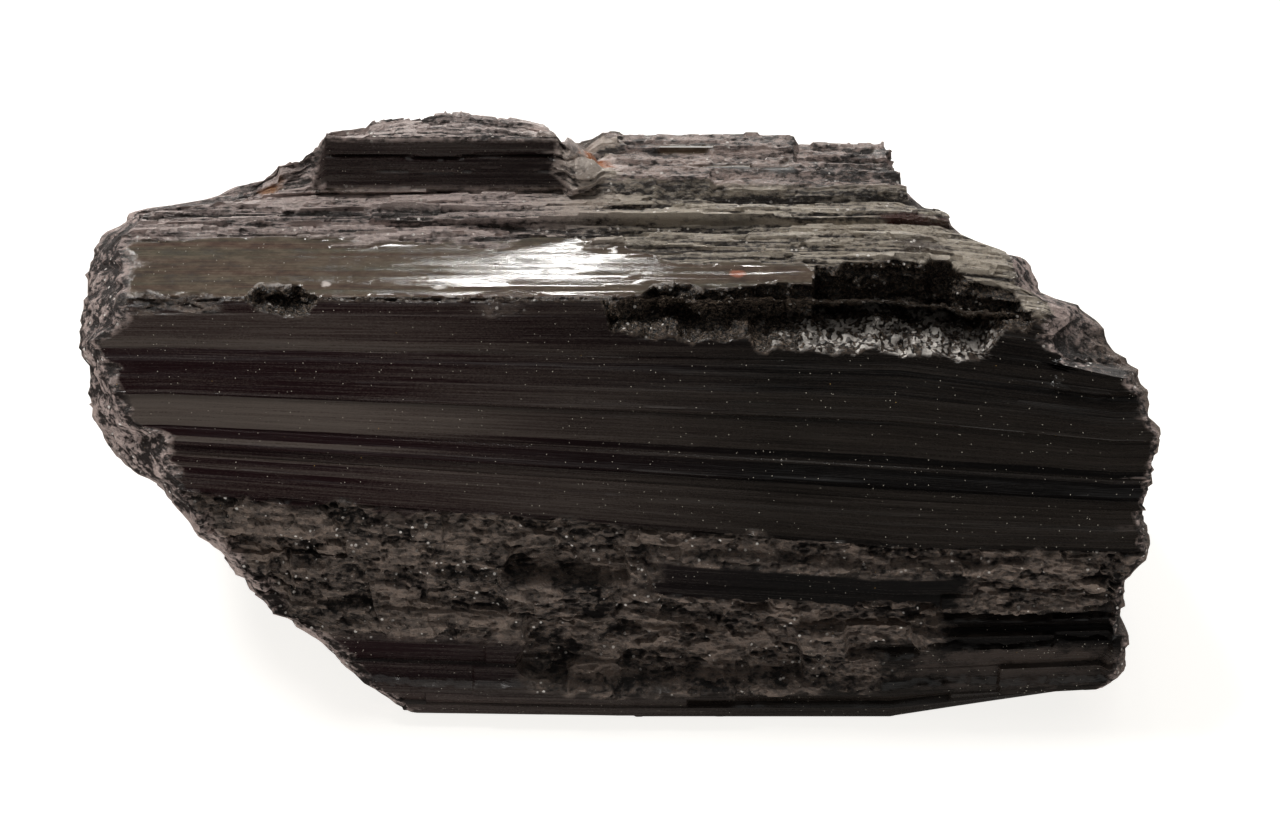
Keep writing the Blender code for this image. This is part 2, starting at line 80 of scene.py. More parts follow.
BREAK_LEAN = np.radians(40.0)
LEFT_END = (
    (0.0, -18.5), (2.7, -21.1), (3.9, -23.2), (6.6, -25.6), (7.7, -26.2), (10.2, -29.5), (10.5, -30.8),
    (12.4, -32.5), (14.0, -33.3), (16.4, -35.1), (17.7, -36.9), (19.3, -37.8), (22.7, -41.1),
    (23.1, -42.4), (25.8, -44.9), (28.4, -46.3), (32.9, -47.2), (34.4, -47.8), (36.2, -47.8),
    (39.7, -47.0), (42.5, -47.1), (43.9, -46.6), (45.0, -46.0), (45.7, -44.3), (46.3, -43.6),
    (47.0, -43.6), (47.5, -42.1), (48.0, -38.4), (48.7, -35.8), (49.6, -34.6), (50.4, -31.5),
    (51.0, -29.6), (52.0, -29.3), (52.7, -27.5), (56.5, -25.5),
)
RIGHT_END = (
    (0.0, 36.0), (1.8, 38.7), (3.0, 42.0), (3.7, 44.5), (4.9, 45.6), (6.4, 46.1), (8.3, 46.0),
    (10.2, 45.3), (13.5, 45.4), (15.3, 46.6), (16.4, 47.2), (20.9, 46.6), (22.2, 47.2), (24.9, 47.2),
    (26.1, 47.8), (27.4, 47.9), (28.6, 47.0), (30.9, 46.8), (31.3, 46.1), (32.8, 46.0), (33.2, 45.2),
    (33.8, 45.1), (34.1, 44.2), (35.3, 43.5), (37.2, 42.2), (38.5, 40.9), (38.9, 39.7), (39.4, 37.6),
    (41.7, 36.7), (42.9, 36.2), (43.2, 34.2), (43.7, 32.6), (44.4, 32.3), (44.6, 31.1), (46.1, 29.7),
    (47.0, 29.2), (47.3, 27.5), (48.9, 26.0), (49.6, 25.4), (53.0, 24.2), (56.5, 22.0),
)
LEFT_RIM = (
    (21.5, 0.3), (24.1, 3.0), (26.9, 4.6), (27.8, 2.4), (31.7, 1.5), (35.2, 1.0), (36.5, 2.6),
    (42.0, 2.8), (46.0, 0.6),
)
RIGHT_RIM = (
    (32.6, 0.2), (33.1, 5.4), (36.0, 5.2), (38.8, 3.5), (40.5, 2.0), (43.0, 1.4), (46.0, 0.3),
)
# The two broken ends, as (outline, rim, side).
ENDS = ((LEFT_END, LEFT_RIM, -1), (RIGHT_END, RIGHT_RIM, 1))
# Each end's place on the sides is worked out from the section this far from the middle.
NEAR_END = 40.0
RIM_DEPTH = 6.0
BACK_TAPER = 3.0
# Flakes on the broken ends, as (width, height, depth), and how far out of the outline they stand on the
# left and the right, as a share of their depth.
END_CHIPS = ((5.0, 4.0, 1.2), (1.7, 1.4, 0.7), (0.7, 0.6, 0.3))
END_CHIP_OUT = (0.32, 0.5)
# How far the left and the right end reach beyond their front edge, further back.
END_SWELL = (1.2, 0.5)
END_RAGGED = 0.5

SLAB_PATH = ((26.0, 41.8), (27.3, 47.1), (30.6, 46.9), (36.9, 38.8))
SLAB_GIRTH = (56.4, 59.0, 62.2, 68.6)
SLAB_X = (-27.6, -0.9)
SLAB_BREAK_RUN = 3.6
# How much further left its broken right end is at the back.
SLAB_SLANT = 4.0
# How much of its height the slab has on the broken steps at its left end, by x.
SLAB_RISE = (
    (-33.4, 0.0), (-31.0, 0.22), (-30.7, 0.38), (-28.9, 0.5), (-28.2, 0.62), (-27.0, 0.72), (-26.2, 1.0),
)
# How far its top falls below the highest part, by x.
SLAB_TOP = (
    (-28.0, -1.9), (-24.2, -1.7), (-22.8, -1.5), (-22.2, -0.9), (-18.0, -0.4), (-16.0, 0.0), (-13.0, -0.2),
    (-10.0, -0.7), (-7.8, -1.0), (-3.0, -1.8),
)

NOTCH_LIP = (
    (-1.5, 43.3), (-0.5, 40.6), (6.6, 39.8), (11.6, 40.0), (12.1, 39.0), (22.0, 39.2), (32.0, 39.3),
    (33.6, 40.9), (34.3, 42.0), (36.2, 42.3), (36.9, 43.4),
)
NOTCH_WALL = (
    (-1.5, 43.5), (2.0, 43.7), (3.3, 45.0), (10.0, 44.8), (17.3, 45.1), (17.7, 47.5), (27.0, 47.5),
    (28.0, 48.1), (29.5, 47.9), (31.0, 46.4), (35.0, 46.3), (36.2, 44.2), (36.9, 43.5),
)
PIT_LIP = ((-33.0, 43.4), (-32.0, 42.0), (-27.6, 41.8), (-26.4, 43.3))
PIT_WALL = ((-33.0, 43.5), (-31.8, 45.2), (-28.2, 45.0), (-26.4, 43.6))

RIBS = (
    (0.0, 0.0, 0), (1.9, -0.3, 6), (3.8, 0.0, -4), (6.6, -0.4, 5), (9.6, 0.2, -6), (12.2, -0.5, 4),
    (14.6, 0.1, -6), (17.2, -0.3, 7), (19.8, 0.1, -5), (23.4, 0.2, -3), (27.1, -0.1, 5),
    (28.2, 0.1, -6), (29.9, -0.1, 3), (33.6, 0.15, -4), (38.3, 0.0, 4), (41.9, 0.1, 0),
    (44.6, 0.1, 1), (48.4, -0.1, 0), (51.0, -0.5, 3), (52.6, 0.3, -6),
    (54.4, -0.2, 5), (56.4, 0.0, 0), (62.2, 0.3, -3), (68.6, -0.3, 5), (72.5, 0.4, -6),
    (77.0, -0.4, 6), (81.5, 0.2, -7), (86.0, -0.5, 5), (91.0, 0.3, -6), (96.0, -0.3, 7),
    (101.0, 0.3, -5), (106.0, -0.4, 4), (112.5, 0.0, 0), (121.5, -0.5, 0), (124.5, 0.0, 0),
    (134.0, -0.4, 0), (137.0, 0.0, 0),
)
RIB_WALL = 0.07
RIB_BREAK_STEP = 0.35
RIB_RUN = 24.0
# The smooth ribs between these girths, and all from the high slab back, run the whole length.
UNBROKEN = (23.0, 50.9)
# The front foot below this girth runs the whole length too.
FOOT_GIRTH = 1.9

LEDGES = (
    (-4.6, 26.5, 56.0, 69.0, 1.2),     # thin slab along the top right
    (16.3, 26.5, 60.2, 69.0, -0.8),    # its lower step
    (8.4, 26.5, 56.0, 58.4, -0.6),     # its front edge, broken down
    (-44.0, -27.8, 56.0, 62.0, -0.5),  # worn top beside the high slab
    (-37.0, 44.5, 5.0, 23.1, -0.6),    # rough lower front, sunk below the smooth band
    (2.5, 32.0, 15.6, 20.6, 0.7),      # rib left standing in it
    (-10.6, -0.2, 12.3, 16.4, 0.7),    # flat lump left of the crack
    (-10.0, 0.4, 16.4, 20.0, -1.3),    # hollow above that lump
    (-8.6, 16.4, 5.4, 11.8, -1.5),     # long recess at the foot
    (-0.2, 9.2, 10.2, 12.0, -0.7),     # its deepest corner
    (20.9, 26.5, 8.1, 12.6, -1.2),     # pit right of it
    (21.7, 29.0, 14.3, 16.2, -1.0),    # slot above the pit
    (10.4, 13.8, 14.0, 15.6, -0.8),    # small slot left of that
    (27.8, 45.0, 11.2, 13.4, 0.9),     # ledge on the right
    (27.8, 45.0, 10.0, 11.2, -0.5),    # groove under that ledge
    (-31.8, -29.6, 11.3, 17.0, -0.9),  # gap beside the left lump
    (38.9, 52.0, 37.8, 40.2, 0.7),     # ledge across the right end of the smooth face
)
LEDGE_EDGE = 0.22
LEDGE_RAGGED = 0.7
# The ledges on the top have straighter edges.
TOP_RAGGED = 0.3

# ---------------------------------------------------------------- kinds of ground, by girth and x

# The broken lower front.
ROUGH_FRONT = (4.4, 22.9)
# The smooth rib left standing in it, as (x from, x to, girth from, girth to).
SMOOTH_RIB = (2.5, 32.0, 15.5, 19.6)
# The smooth stretches below it, as (x from, x to, girths over which they end, how far that edge wanders).
SMOOTH_FEET = (
    (-60.0, -9.0, (8.6, 10.2), 0.0),
    (24.0, 60.0, (8.6, 10.2), 0.0),
    (28.5, 60.0, (14.2, 15.2), 1.0),
)
# Where the splintery strip on the top starts, as (x, girth), and the girths over which it ends.
STRIP_FROM = ((-45.0, 50.2), (0.5, 49.8), (4.5, 47.4), (16.5, 47.0), (18.5, 45.0), (45.0, 44.0))
STRIP_END = (56.2, 56.8)
# The chipped edge between the front and the top.
CHIPPED_EDGE = (42.0, 43.9)
# The mottled skin on the top, which has hardly any striations, and the x over which they begin.
MOTTLED_SKIN = (43.4, 50.3)
MOTTLED_UNTIL = (3.0, 10.0)
# The rough band low on the back.
BACK_BAND = (100.0, 111.0)
# Girths over which the pale worn look ends on the high slab's top, and weakens along the broken ends.
WORN_TOP_END = (62.2, 64.5)
WORN_END_WEAKENS = (64.0, 72.0)

# ---------------------------------------------------------------- fine surface

# Growth striations: long thin flakes, as (run along x, width across, height).
STRIAE = ((58.0, 1.3, 0.06), (37.0, 0.62, 0.04), (23.0, 0.3, 0.025))
# Broken flakes on rough ground, as (along x, across, depth).
FLAKES = ((4.4, 2.1, 0.55), (1.9, 0.9, 0.38), (0.9, 0.45, 0.22))
# Splintery chips on the top's rough strip.
SPLINTERS = ((15.0, 0.95, 0.48), (7.0, 0.5, 0.34), (2.6, 0.3, 0.16))
# Broken slabs on the high slab's top.
SLABS = ((9.0, 1.2, 0.5), (3.6, 0.7, 0.34), (1.2, 0.4, 0.2))
# Crumbled crystal grains in the notch and pit.
CRUMBS = ((2.6, 1.6, 0.6), (1.1, 0.8, 0.4), (0.5, 0.4, 0.2))
# Chips along the edge between the front and the top.
EDGE_CHIPS = ((3.2, 0.8, 0.35), (1.2, 0.4, 0.16))
# Grooves along the crystal, as (x from, x to, girth, half width, depth), darkened with painted shade where
# they cross broken ground or the splintery strip.
GROOVES = (
    (-27.0, -2.0, 58.04, 0.09, 0.40),  # along the high slab's front wall
    (-23.0, -2.0, 57.35, 0.05, 0.15),
    (-12.5, 4.0, 50.62, 0.14, 0.40),
    (-1.0, 11.5, 51.75, 0.30, 0.60),
    (7.5, 27.0, 55.7, 0.36, 0.65),
    (27.0, 34.0, 50.9, 0.34, 0.55),
    (-30.0, -6.0, 51.6, 0.16, 0.40),
    (7.0, 11.5, 49.6, 0.16, 0.30),
    (-41.0, -22.0, 53.9, 0.16, 0.40),
    (-36.0, -10.0, 52.7, 0.12, 0.30),
    (-40.0, 40.0, 23.3, 0.10, 0.15),
)

# ---------------------------------------------------------------- mesh

STEADY_FROM = -14.0
STEADY_TO = 22.0
STATION_GAP = 0.22
LEFT_LINES = 150
RIGHT_LINES = 112
# The photo sees the sides up to this girth, and the mesh is fine up to it.
FRONT_GIRTH = 69.0
FRONT_GAP = 0.19
SLAB_WALL_GAP = 0.1
BACK_GAP = 0.8
CAP_GAP = 0.5
MOST_TRIANGLES = 192000

# ---------------------------------------------------------------- camera and light

VIEW_ELEVATION = np.radians(40.0)
VIEW_DISTANCE = 400.0
PIXELS_PER_MM = 10.81
PHOTO_WIDTH = 1280
SENSOR_MM = 36.0
VIEW_TARGET = (1.98, 20.5, 20.5)


def aimed(elevation, sideways=0.0):
    """Unit direction towards the back, raised by an elevation in degrees. Past 90 it leans to the front."""
    raised = np.radians(elevation)
    return (sideways, float(np.cos(raised)), float(np.sin(raised)))


# The tent's overhead cloth, bright over the back and dim towards the front.
DOME_DIRECTION = aimed(60.0)
DOME_RAMP = (0.3, 0.62)
DOME_DIM = 0.03
DOME_BRIGHT = 0.36
# The bright cloth low behind the crystal.
BACK_DIRECTION = aimed(15.0)
BACK_REACH = np.radians(32.0)
BACK_CORE = np.radians(12.0)
BACK_BRIGHT = 2.6
# Lamps, as (name, direction, angle across in degrees, strength): one lights the broken ground, and a small
# one lays the white glare on the top.
LAMPS = (
    ("key_lamp", aimed(80.0, -0.45), 16.0, 1.9),
    ("glare_lamp", aimed(69.5, -0.0220), 1.8, 0.07),
)
# How bright the ground looks in reflections, against the tent.
GROUND_GLOW = 0.05
# Half the height of the blur between the ground and the tent, as a sine.
HORIZON = 0.06
PAPER_WHITE = (1.0, 0.985, 0.955)
LAMP_WHITE = (1.0, 0.985, 0.96)
# Half the floor's width, in metres.
FLOOR_HALF = 6.0
FLOOR_COLOUR = (0.45, 0.445, 0.437)
FLOOR_ROUGHNESS = 0.9
FLOOR_GLOW = 0.86
# The nearest and the furthest that the camera sees, in metres.
CLIP = (0.01, 50.0)


def hashed(column, row, seed):
    """A repeatable number between -1 and 1 for each whole-number cell."""
    mixed = column.astype(np.int64) * 374761393 + row.astype(np.int64) * 668265263 + seed * 69069
    mixed = (mixed ^ (mixed >> 13)) * 1274126177 & 0xFFFFFFFF
    mixed = (mixed ^ (mixed >> 16)) & 0xFFFF
    return mixed / 32767.5 - 1.0


def waves(across, along, seed):
    """Smooth unevenness between about -1 and 1, one hump per unit."""
    column, row = np.floor(across), np.floor(along)
    u, v = across - column, along - row
    u, v = u * u * (3 - 2 * u), v * v * (3 - 2 * v)
    near = hashed(column, row, seed) * (1 - u) + hashed(column + 1, row, seed) * u
    far = hashed(column, row + 1, seed) * (1 - u) + hashed(column + 1, row + 1, seed) * u
    return near * (1 - v) + far * v


def chips(across, along, seed):
    """Flat tilted flakes between about -1 and 1, one per unit, as a broken surface has."""
    column, row = np.floor(across), np.floor(along)
    nearest = np.full(across.shape, np.inf)
    height = np.zeros(across.shape)
    for step_column in (-1, 0, 1):
        for step_row in (-1, 0, 1):
            cell = (column + step_column, row + step_row)
            off_x = across - cell[0] - 0.5 - 0.4 * hashed(*cell, seed)
            off_y = along - cell[1] - 0.5 - 0.4 * hashed(*cell, seed + 1)
            distance = off_x ** 2 + off_y ** 2
            flake = 0.6 * hashed(*cell, seed + 2)
            flake = flake + 0.5 * hashed(*cell, seed + 3) * off_x + 0.5 * hashed(*cell, seed + 4) * off_y
            closer = distance < nearest
            nearest = np.where(closer, distance, nearest)
            height = np.where(closer, flake, height)
    return height


def layered(across, along, sizes, seed):
    """Several sizes of flake on one another, each as (size across, size along, depth)."""
    height = np.zeros(across.shape)
    for layer, (size_across, size_along, depth) in enumerate(sizes):
        height = height + depth * chips(across / size_across, along / size_along, seed + 10 * layer)
    return height


def ramp(value, start, end):
    """0 before start, 1 after end, and straight between them."""
    return np.clip((value - start) / (end - start), 0.0, 1.0)


def between(value, low, high, edge):
    """1 between low and high, falling to 0 over the edge width on either side."""
    return ramp(value, low - edge, low + edge) * (1 - ramp(value, high - edge, high + edge))


def lookup(value, pairs):
    """Read a table of (place, amount) pairs, straight between its entries."""
    places, amounts = zip(*pairs)
    return np.interp(value, places, amounts)


def corner_girths():
    """Girth of each corner of the middle section, with the full way round as the last value."""
    corners = np.array(SECTIONS[MIDDLE_SECTION])
    sides = np.hypot(*(np.roll(corners, -1, axis=0) - corners).T)
    return np.concatenate([[0.0], np.cumsum(sides)])


GIRTHS = corner_girths()
WHOLE_GIRTH = GIRTHS[-1]


def plain_section(x, girth):
    """(y, z) on the straight-sided section at x."""
    girth = np.mod(girth, WHOLE_GIRTH)
    side = np.clip(np.searchsorted(GIRTHS, girth, side="right") - 1, 0, len(GIRTHS) - 2)
    share = (girth - GIRTHS[side]) / (GIRTHS[side + 1] - GIRTHS[side])
    corners = np.array(SECTIONS)
    corners = np.concatenate([corners, corners[:, :1]], axis=1)
    place = np.interp(x, SECTION_X, np.arange(len(SECTION_X)))
    first = np.minimum(place.astype(int), len(SECTION_X) - 2)
    blend = (place - first)[..., None]
    start = corners[first, side] * (1 - blend) + corners[first + 1, side] * blend
    end = corners[first, side + 1] * (1 - blend) + corners[first + 1, side + 1] * blend
    return start + (end - start) * share[..., None]


def rounded_section(x, girth):
    """The section with its corners taken off a little."""
    sides = plain_section(x, girth - CORNER_ROUND) + plain_section(x, girth + CORNER_ROUND)
    return 0.5 * plain_section(x, girth) + 0.25 * sides


def slab_share(x, girth):
    """How much of the high slab stands at a place: all of it, none, or its broken right slope."""
    back = ramp(girth, SLAB_GIRTH[0], SLAB_GIRTH[-1])
    ragged = 0.5 * waves(x / 1.2, girth / 0.9, 71)
    right = SLAB_X[1] - SLAB_SLANT * back + ragged
    rising = lookup(x + 0.6 * ragged, SLAB_RISE)
    return rising * (1 - ramp(x, right - SLAB_BREAK_RUN, right))


def along_path(girth, knots, corners):
    """Point on a path of corners whose girths are the knots. Both may differ from place to place."""
    point = corners[0] * np.ones(girth.shape + (1,))
    for knot, next_knot, corner, next_corner in zip(knots, knots[1:], corners, corners[1:]):
        share = np.clip((girth - knot) / np.maximum(next_knot - knot, 1e-6), 0, 1)[..., None]
        point = point + (next_corner - corner) * share
    return point


def step_edges(x, lip_table, wall_table):
    """Girths of a broken step's front lip and back wall, made ragged."""
    lip, wall = lookup(x, lip_table), lookup(x, wall_table)
    open_share = ramp(wall - lip, 0.3, 2.0)
    lip = lip + open_share * (0.35 * waves(x / 1.6, x * 0, 61) + 0.15 * waves(x / 0.6, x * 0, 62))
    wall = wall + open_share * (0.3 * waves(x / 1.9, x * 0, 63) + 0.15 * waves(x / 0.7, x * 0, 64))
    return lip, wall


def cut_step(point, x, girth, lip_table, wall_table):
    """Break a level-floored, upright-walled step out of the edge between two girths."""
    lip, wall = step_edges(x, lip_table, wall_table)
    front, back = rounded_section(x, lip), rounded_section(x, wall)
    inner = np.stack([back[..., 0], front[..., 1]], axis=-1)
    stepped = along_path(girth, (lip, (lip + wall) / 2, wall), (front, inner, back))
    inside = ((girth > lip) & (girth < wall))[..., None]
    return np.where(inside, stepped, point)


def side_path(x, girth):
    """(y, z) of the sides with the high slab, notch and pit, before any relief."""
    point = rounded_section(x, girth)
    point = cut_step(point, x, girth, NOTCH_LIP, NOTCH_WALL)
    point = cut_step(point, x, girth, PIT_LIP, PIT_WALL)
    slab = along_path(girth, SLAB_GIRTH, [np.array(corner) for corner in SLAB_PATH])
    on_slab = ((girth > SLAB_GIRTH[0]) & (girth < SLAB_GIRTH[-1])) * slab_share(x, girth)
    return point + (slab - point) * on_slab[..., None]


def rib_relief(x, girth):
    """Height of the long ribs, which change level where one breaks off along its length."""
    starts, levels, leans = (np.array(column, dtype=float) for column in zip(*RIBS))
    ends = np.append(starts[1:], WHOLE_GIRTH)
    rib = np.clip(np.searchsorted(starts, girth, side="right") - 1, 0, len(RIBS) - 1)
    middle = (starts[rib] + ends[rib]) / 2
    height = levels[rib] + np.tan(np.radians(leans[rib])) * (girth - middle)
    run = np.floor((x + 60 + 12 * hashed(rib, rib, 5)) / RIB_RUN)
    smooth_band = (girth > UNBROKEN[0]) & (girth < UNBROKEN[1])
    unbroken = smooth_band | (girth > SLAB_GIRTH[0]) | (girth < FOOT_GIRTH)
    return height + np.where(unbroken, 0.0, RIB_BREAK_STEP) * hashed(rib, run, 11)


def ledge_relief(x, girth):
    """Height of the ledges and hollows, each with a ragged outline."""
    ragged = np.where(girth > UNBROKEN[1], TOP_RAGGED, LEDGE_RAGGED)
    drift = ragged * waves(x / 3.1, girth / 2.3, 21)
    fine_drift = 0.35 * ragged * waves(x / 0.9, girth / 0.7, 23)
    height = np.zeros(x.shape)
    for x_from, x_to, girth_from, girth_to, level in LEDGES:
        inside = between(x + drift + fine_drift, x_from, x_to, LEDGE_EDGE)
        inside = inside * between(girth + 0.4 * drift + fine_drift, girth_from, girth_to, LEDGE_EDGE)
        height = height + level * inside
    return height


def slab_top_relief(x, girth):
    """How far the high slab's top falls towards its ends."""
    on_top = between(girth, 60.4, 68.0, 1.4) * ramp(x, -33.0, -28.0) * (1 - ramp(x, -4.0, -1.5))
    return lookup(x, SLAB_TOP) * on_top


def notch_share(x, girth):
    """1 on the notch's and the pit's broken floors and walls, 0 elsewhere."""
    lip, wall = step_edges(x, NOTCH_LIP, NOTCH_WALL)
    pit_lip, pit_wall = step_edges(x, PIT_LIP, PIT_WALL)
    in_notch = between(girth, lip, wall, 0.15)
    return np.maximum(in_notch, between(girth, pit_lip, pit_wall, 0.15))


def rough_front_share(x, girth):
    """1 on the broken lower front, 0 on the smooth bands round it."""
    drift = 0.9 * waves(x / 4.0, girth / 3.0, 81) + 0.5 * waves(x / 1.1, girth / 0.8, 82)
    x_from, x_to, girth_from, girth_to = SMOOTH_RIB
    smooth = between(girth + 0.5 * drift, girth_from, girth_to, 0.3)
    smooth = smooth * between(x + 2 * drift, x_from, x_to, 1.0)
    for x_from, x_to, fade, wander in SMOOTH_FEET:
        foot = between(x + 2 * drift, x_from, x_to, 1.0) * (1 - ramp(girth + wander * drift, *fade))
        smooth = np.maximum(smooth, foot)
    return between(girth + drift, *ROUGH_FRONT, 0.3) * (1 - smooth)


def top_strip_share(x, girth):
    """1 on the splintery strip along the top front, 0 elsewhere."""
    drift = 0.8 * waves(x / 6.0, girth / 1.2, 83) + 0.4 * waves(x / 1.5, girth / 0.5, 85)
    start = lookup(x, STRIP_FROM)
    return ramp(girth + drift, start, start + 0.5) * (1 - ramp(girth, *STRIP_END))


def edge_chip_share(x, girth):
    """1 on the chipped stretches of the edge between the front and the top."""
    drift = 0.5 * waves(x / 2.2, girth / 0.8, 86)
    stretches = ramp(waves(x / 5.5, girth * 0, 87), -0.2, 0.3)
    return between(girth + drift, *CHIPPED_EDGE, 0.2) * stretches


def slab_top_share(x, girth):
    """1 on the broken top of the high slab, the slope at its right end and the worn top left of it."""
    left, right = SLAB_X
    drift = 0.9 * waves(x / 1.1, girth / 0.7, 72)
    on_slab = between(x, left, right, 0.5) * between(girth, SLAB_GIRTH[1] - 0.1, FRONT_GIRTH, 0.15)
    slope = between(x + drift, right - SLAB_BREAK_RUN - 0.9, right + 0.8, 0.4)
    slope = slope * between(girth, SLAB_GIRTH[0] + 0.2, FRONT_GIRTH, 0.3)
    worn_top = (1 - ramp(x + drift, left, left + 0.8)) * between(girth, 56.0, FRONT_GIRTH, 0.4)
    return np.maximum(np.maximum(on_slab, slope), worn_top)


def right_slab_share(x, girth):
    """1 on the patches of the thin right slab that have lost their skin."""
    patches = ramp(waves(x / 6.5, girth / 1.6, 88) + 0.4 * waves(x / 1.4, girth / 0.6, 89), -0.5, -0.3)
    front_edge = between(girth, 56.2, 58.6, 0.3)
    on_slab = between(x, SLAB_X[1], 26.5, 0.5) * between(girth, 56.2, FRONT_GIRTH, 0.3)
    return on_slab * np.maximum(patches, front_edge)


def back_band_share(girth):
    """1 on the rough band low on the back, 0 elsewhere."""
    return between(girth, *BACK_BAND, 0.4)


def end_share(x, girth, left, right):
    """1 at the broken ends, fading out on the sides just short of them."""
    reach = 1.2 + 0.9 * waves(x / 1.5, girth / 1.1, 84)
    right_reach = np.where(girth < 40.8, 0.3 * reach, reach)
    return np.maximum(1 - ramp(x - left, 0.2, reach), 1 - ramp(right - x, 0.1, 0.1 + right_reach))


def groove_relief(x, girth):
    """Depth of the narrow grooves, which wander a little and thin out at their ends."""
    wander = 0.12 * waves(x / 4.0, girth * 0, 91)
    height = np.zeros(x.shape)
    for x_from, x_to, place, half_width, depth in GROOVES:
        cross = 1 - ramp(np.abs(girth - place - wander), 0.4 * half_width, half_width)
        height = height - depth * cross * ramp(x, x_from, x_from + 2) * (1 - ramp(x, x_to - 2, x_to))
    return height


def fine_relief(x, girth, shares):
    """Striations on the smooth bands, and flakes, splinters and crumbs on broken ground."""
    mottled = between(girth, *MOTTLED_SKIN, 0.3) * (1 - ramp(x, *MOTTLED_UNTIL))
    height = (1 - 0.6 * shares["broken"]) * (1 - 0.85 * mottled) * layered(x, girth, STRIAE, 100)
    slabs = np.maximum(shares["top"], 0.7 * shares["right slab"])
    kinds = (shares["front"], shares["strip"], slabs, shares["notch"])
    for kind, (share, sizes) in enumerate(zip(kinds, (FLAKES, SPLINTERS, SLABS, CRUMBS))):
        height = height + share * layered(x, girth, sizes, 200 + 100 * kind)
    height = height + shares["edge"] * (layered(x, girth, EDGE_CHIPS, 600) - 0.15)
    height = height + shares["back"] * layered(x, girth, FLAKES, 700)
    height = height - shares["end"] * 0.25 * (1 + waves(x / 0.9, girth / 0.7, 800))
    return height + groove_relief(x, girth)


def side_points(x, girth, relief):
    """(x, y, z) of the finished sides."""
    path = side_path(x, girth)
    reach = side_path(x, girth + 0.3) - side_path(x, girth - 0.3)
    reach = reach / np.maximum(np.hypot(reach[..., 0], reach[..., 1]), 1e-6)[..., None]
    outward = np.stack([-reach[..., 1], reach[..., 0]], axis=-1)
    height = rib_relief(x, girth) + ledge_relief(x, girth) + slab_top_relief(x, girth) + relief
    on_base = girth > GIRTHS[-2] - 0.5
    height = np.where(on_base, np.minimum(height, 0.0), height)
    point = path + outward * height[..., None]
    point[..., 1] = np.maximum(point[..., 1], BASE_PLANE)
    return np.concatenate([x[..., None], point], axis=-1)


def rise_and_depth(y, z):
    """How far a point lies across the break's lean, and how far back along it."""
    rise = y * np.sin(BREAK_LEAN) + z * np.cos(BREAK_LEAN)
    return rise, y * np.cos(BREAK_LEAN) - z * np.sin(BREAK_LEAN)


def front_depth(rise):
    """How far back the front and top of the middle section are at each rise."""
    girth = np.linspace(0.0, GIRTHS[6], 200)
    y, z = plain_section(np.zeros(girth.shape), girth).T
    front_rise, depth = rise_and_depth(y, z)
    return np.interp(rise, front_rise, depth)


def end_x(y, z, end):
    """x of a broken end at (y, z)."""
    outline, rim, side = end
    rise, depth = rise_and_depth(y, z)
    behind = depth - front_depth(rise)
    short = lookup(rise, rim) * (1 - ramp(behind, 0.0, RIM_DEPTH))
    swell, chip_out = (pair[side > 0] for pair in (END_SWELL, END_CHIP_OUT))
    short = short + BACK_TAPER * ramp(behind, 12.0, 40.0) - swell * ramp(behind, 0.0, RIM_DEPTH)
    short = short + (0.5 - chip_out) * sum(deep for _, _, deep in END_CHIPS) - end_flakes(y, z, side)
    return lookup(rise, outline) - side * short


def end_flakes(y, z, side):
    """How far the flakes of a broken end stand out of it at (y, z)."""
    height = -END_RAGGED * (0.1 + 0.5 * waves(y / 0.8, z / 0.8, 45 + side))
    for layer, (width, tall, deep) in enumerate(END_CHIPS):
        height = height + 0.5 * deep * chips(y / width, z / tall, 41 + side + 20 * layer)
    return height


def mesh_girths():
    """Girths of the lines that run along the crystal, with a close pair at each rib edge."""
    edges = np.array([rib[0] for rib in RIBS[1:]] + list(SLAB_GIRTH[1:3]))
    pairs = np.concatenate([[RIB_WALL], edges - RIB_WALL, edges + RIB_WALL, [WHOLE_GIRTH - RIB_WALL]])
    fill = np.concatenate([
        np.arange(0.3, SLAB_GIRTH[0], FRONT_GAP),
        np.arange(SLAB_GIRTH[0], SLAB_GIRTH[1], SLAB_WALL_GAP),
        np.arange(SLAB_GIRTH[1], FRONT_GIRTH, FRONT_GAP),
        np.arange(FRONT_GIRTH, WHOLE_GIRTH, BACK_GAP),
    ])
    room = np.abs(fill[:, None] - pairs).min(axis=1) > 0.05
    return np.sort(np.concatenate([pairs, fill[room]]))


def mesh_stations(girth):
    """x of every mesh point: fixed lines in the middle, spread out to reach both broken ends."""
    steady = np.arange(STEADY_FROM, STEADY_TO + 0.01, STATION_GAP)
    sections = (plain_section(np.full(girth.shape, x), girth) for x in (-NEAR_END, NEAR_END))
    left, right = (end_x(*section.T, end) for section, end in zip(sections, ENDS))
    share = np.linspace(0, 1, LEFT_LINES, endpoint=False)[:, None]
    to_left = left * (1 - share) + steady[0] * share
    share = np.linspace(0, 1, RIGHT_LINES + 1)[1:, None]
    to_right = steady[-1] * (1 - share) + right * share
    middle = np.repeat(steady[:, None], len(girth), axis=1)
    return np.concatenate([to_left, middle, to_right]), left, right


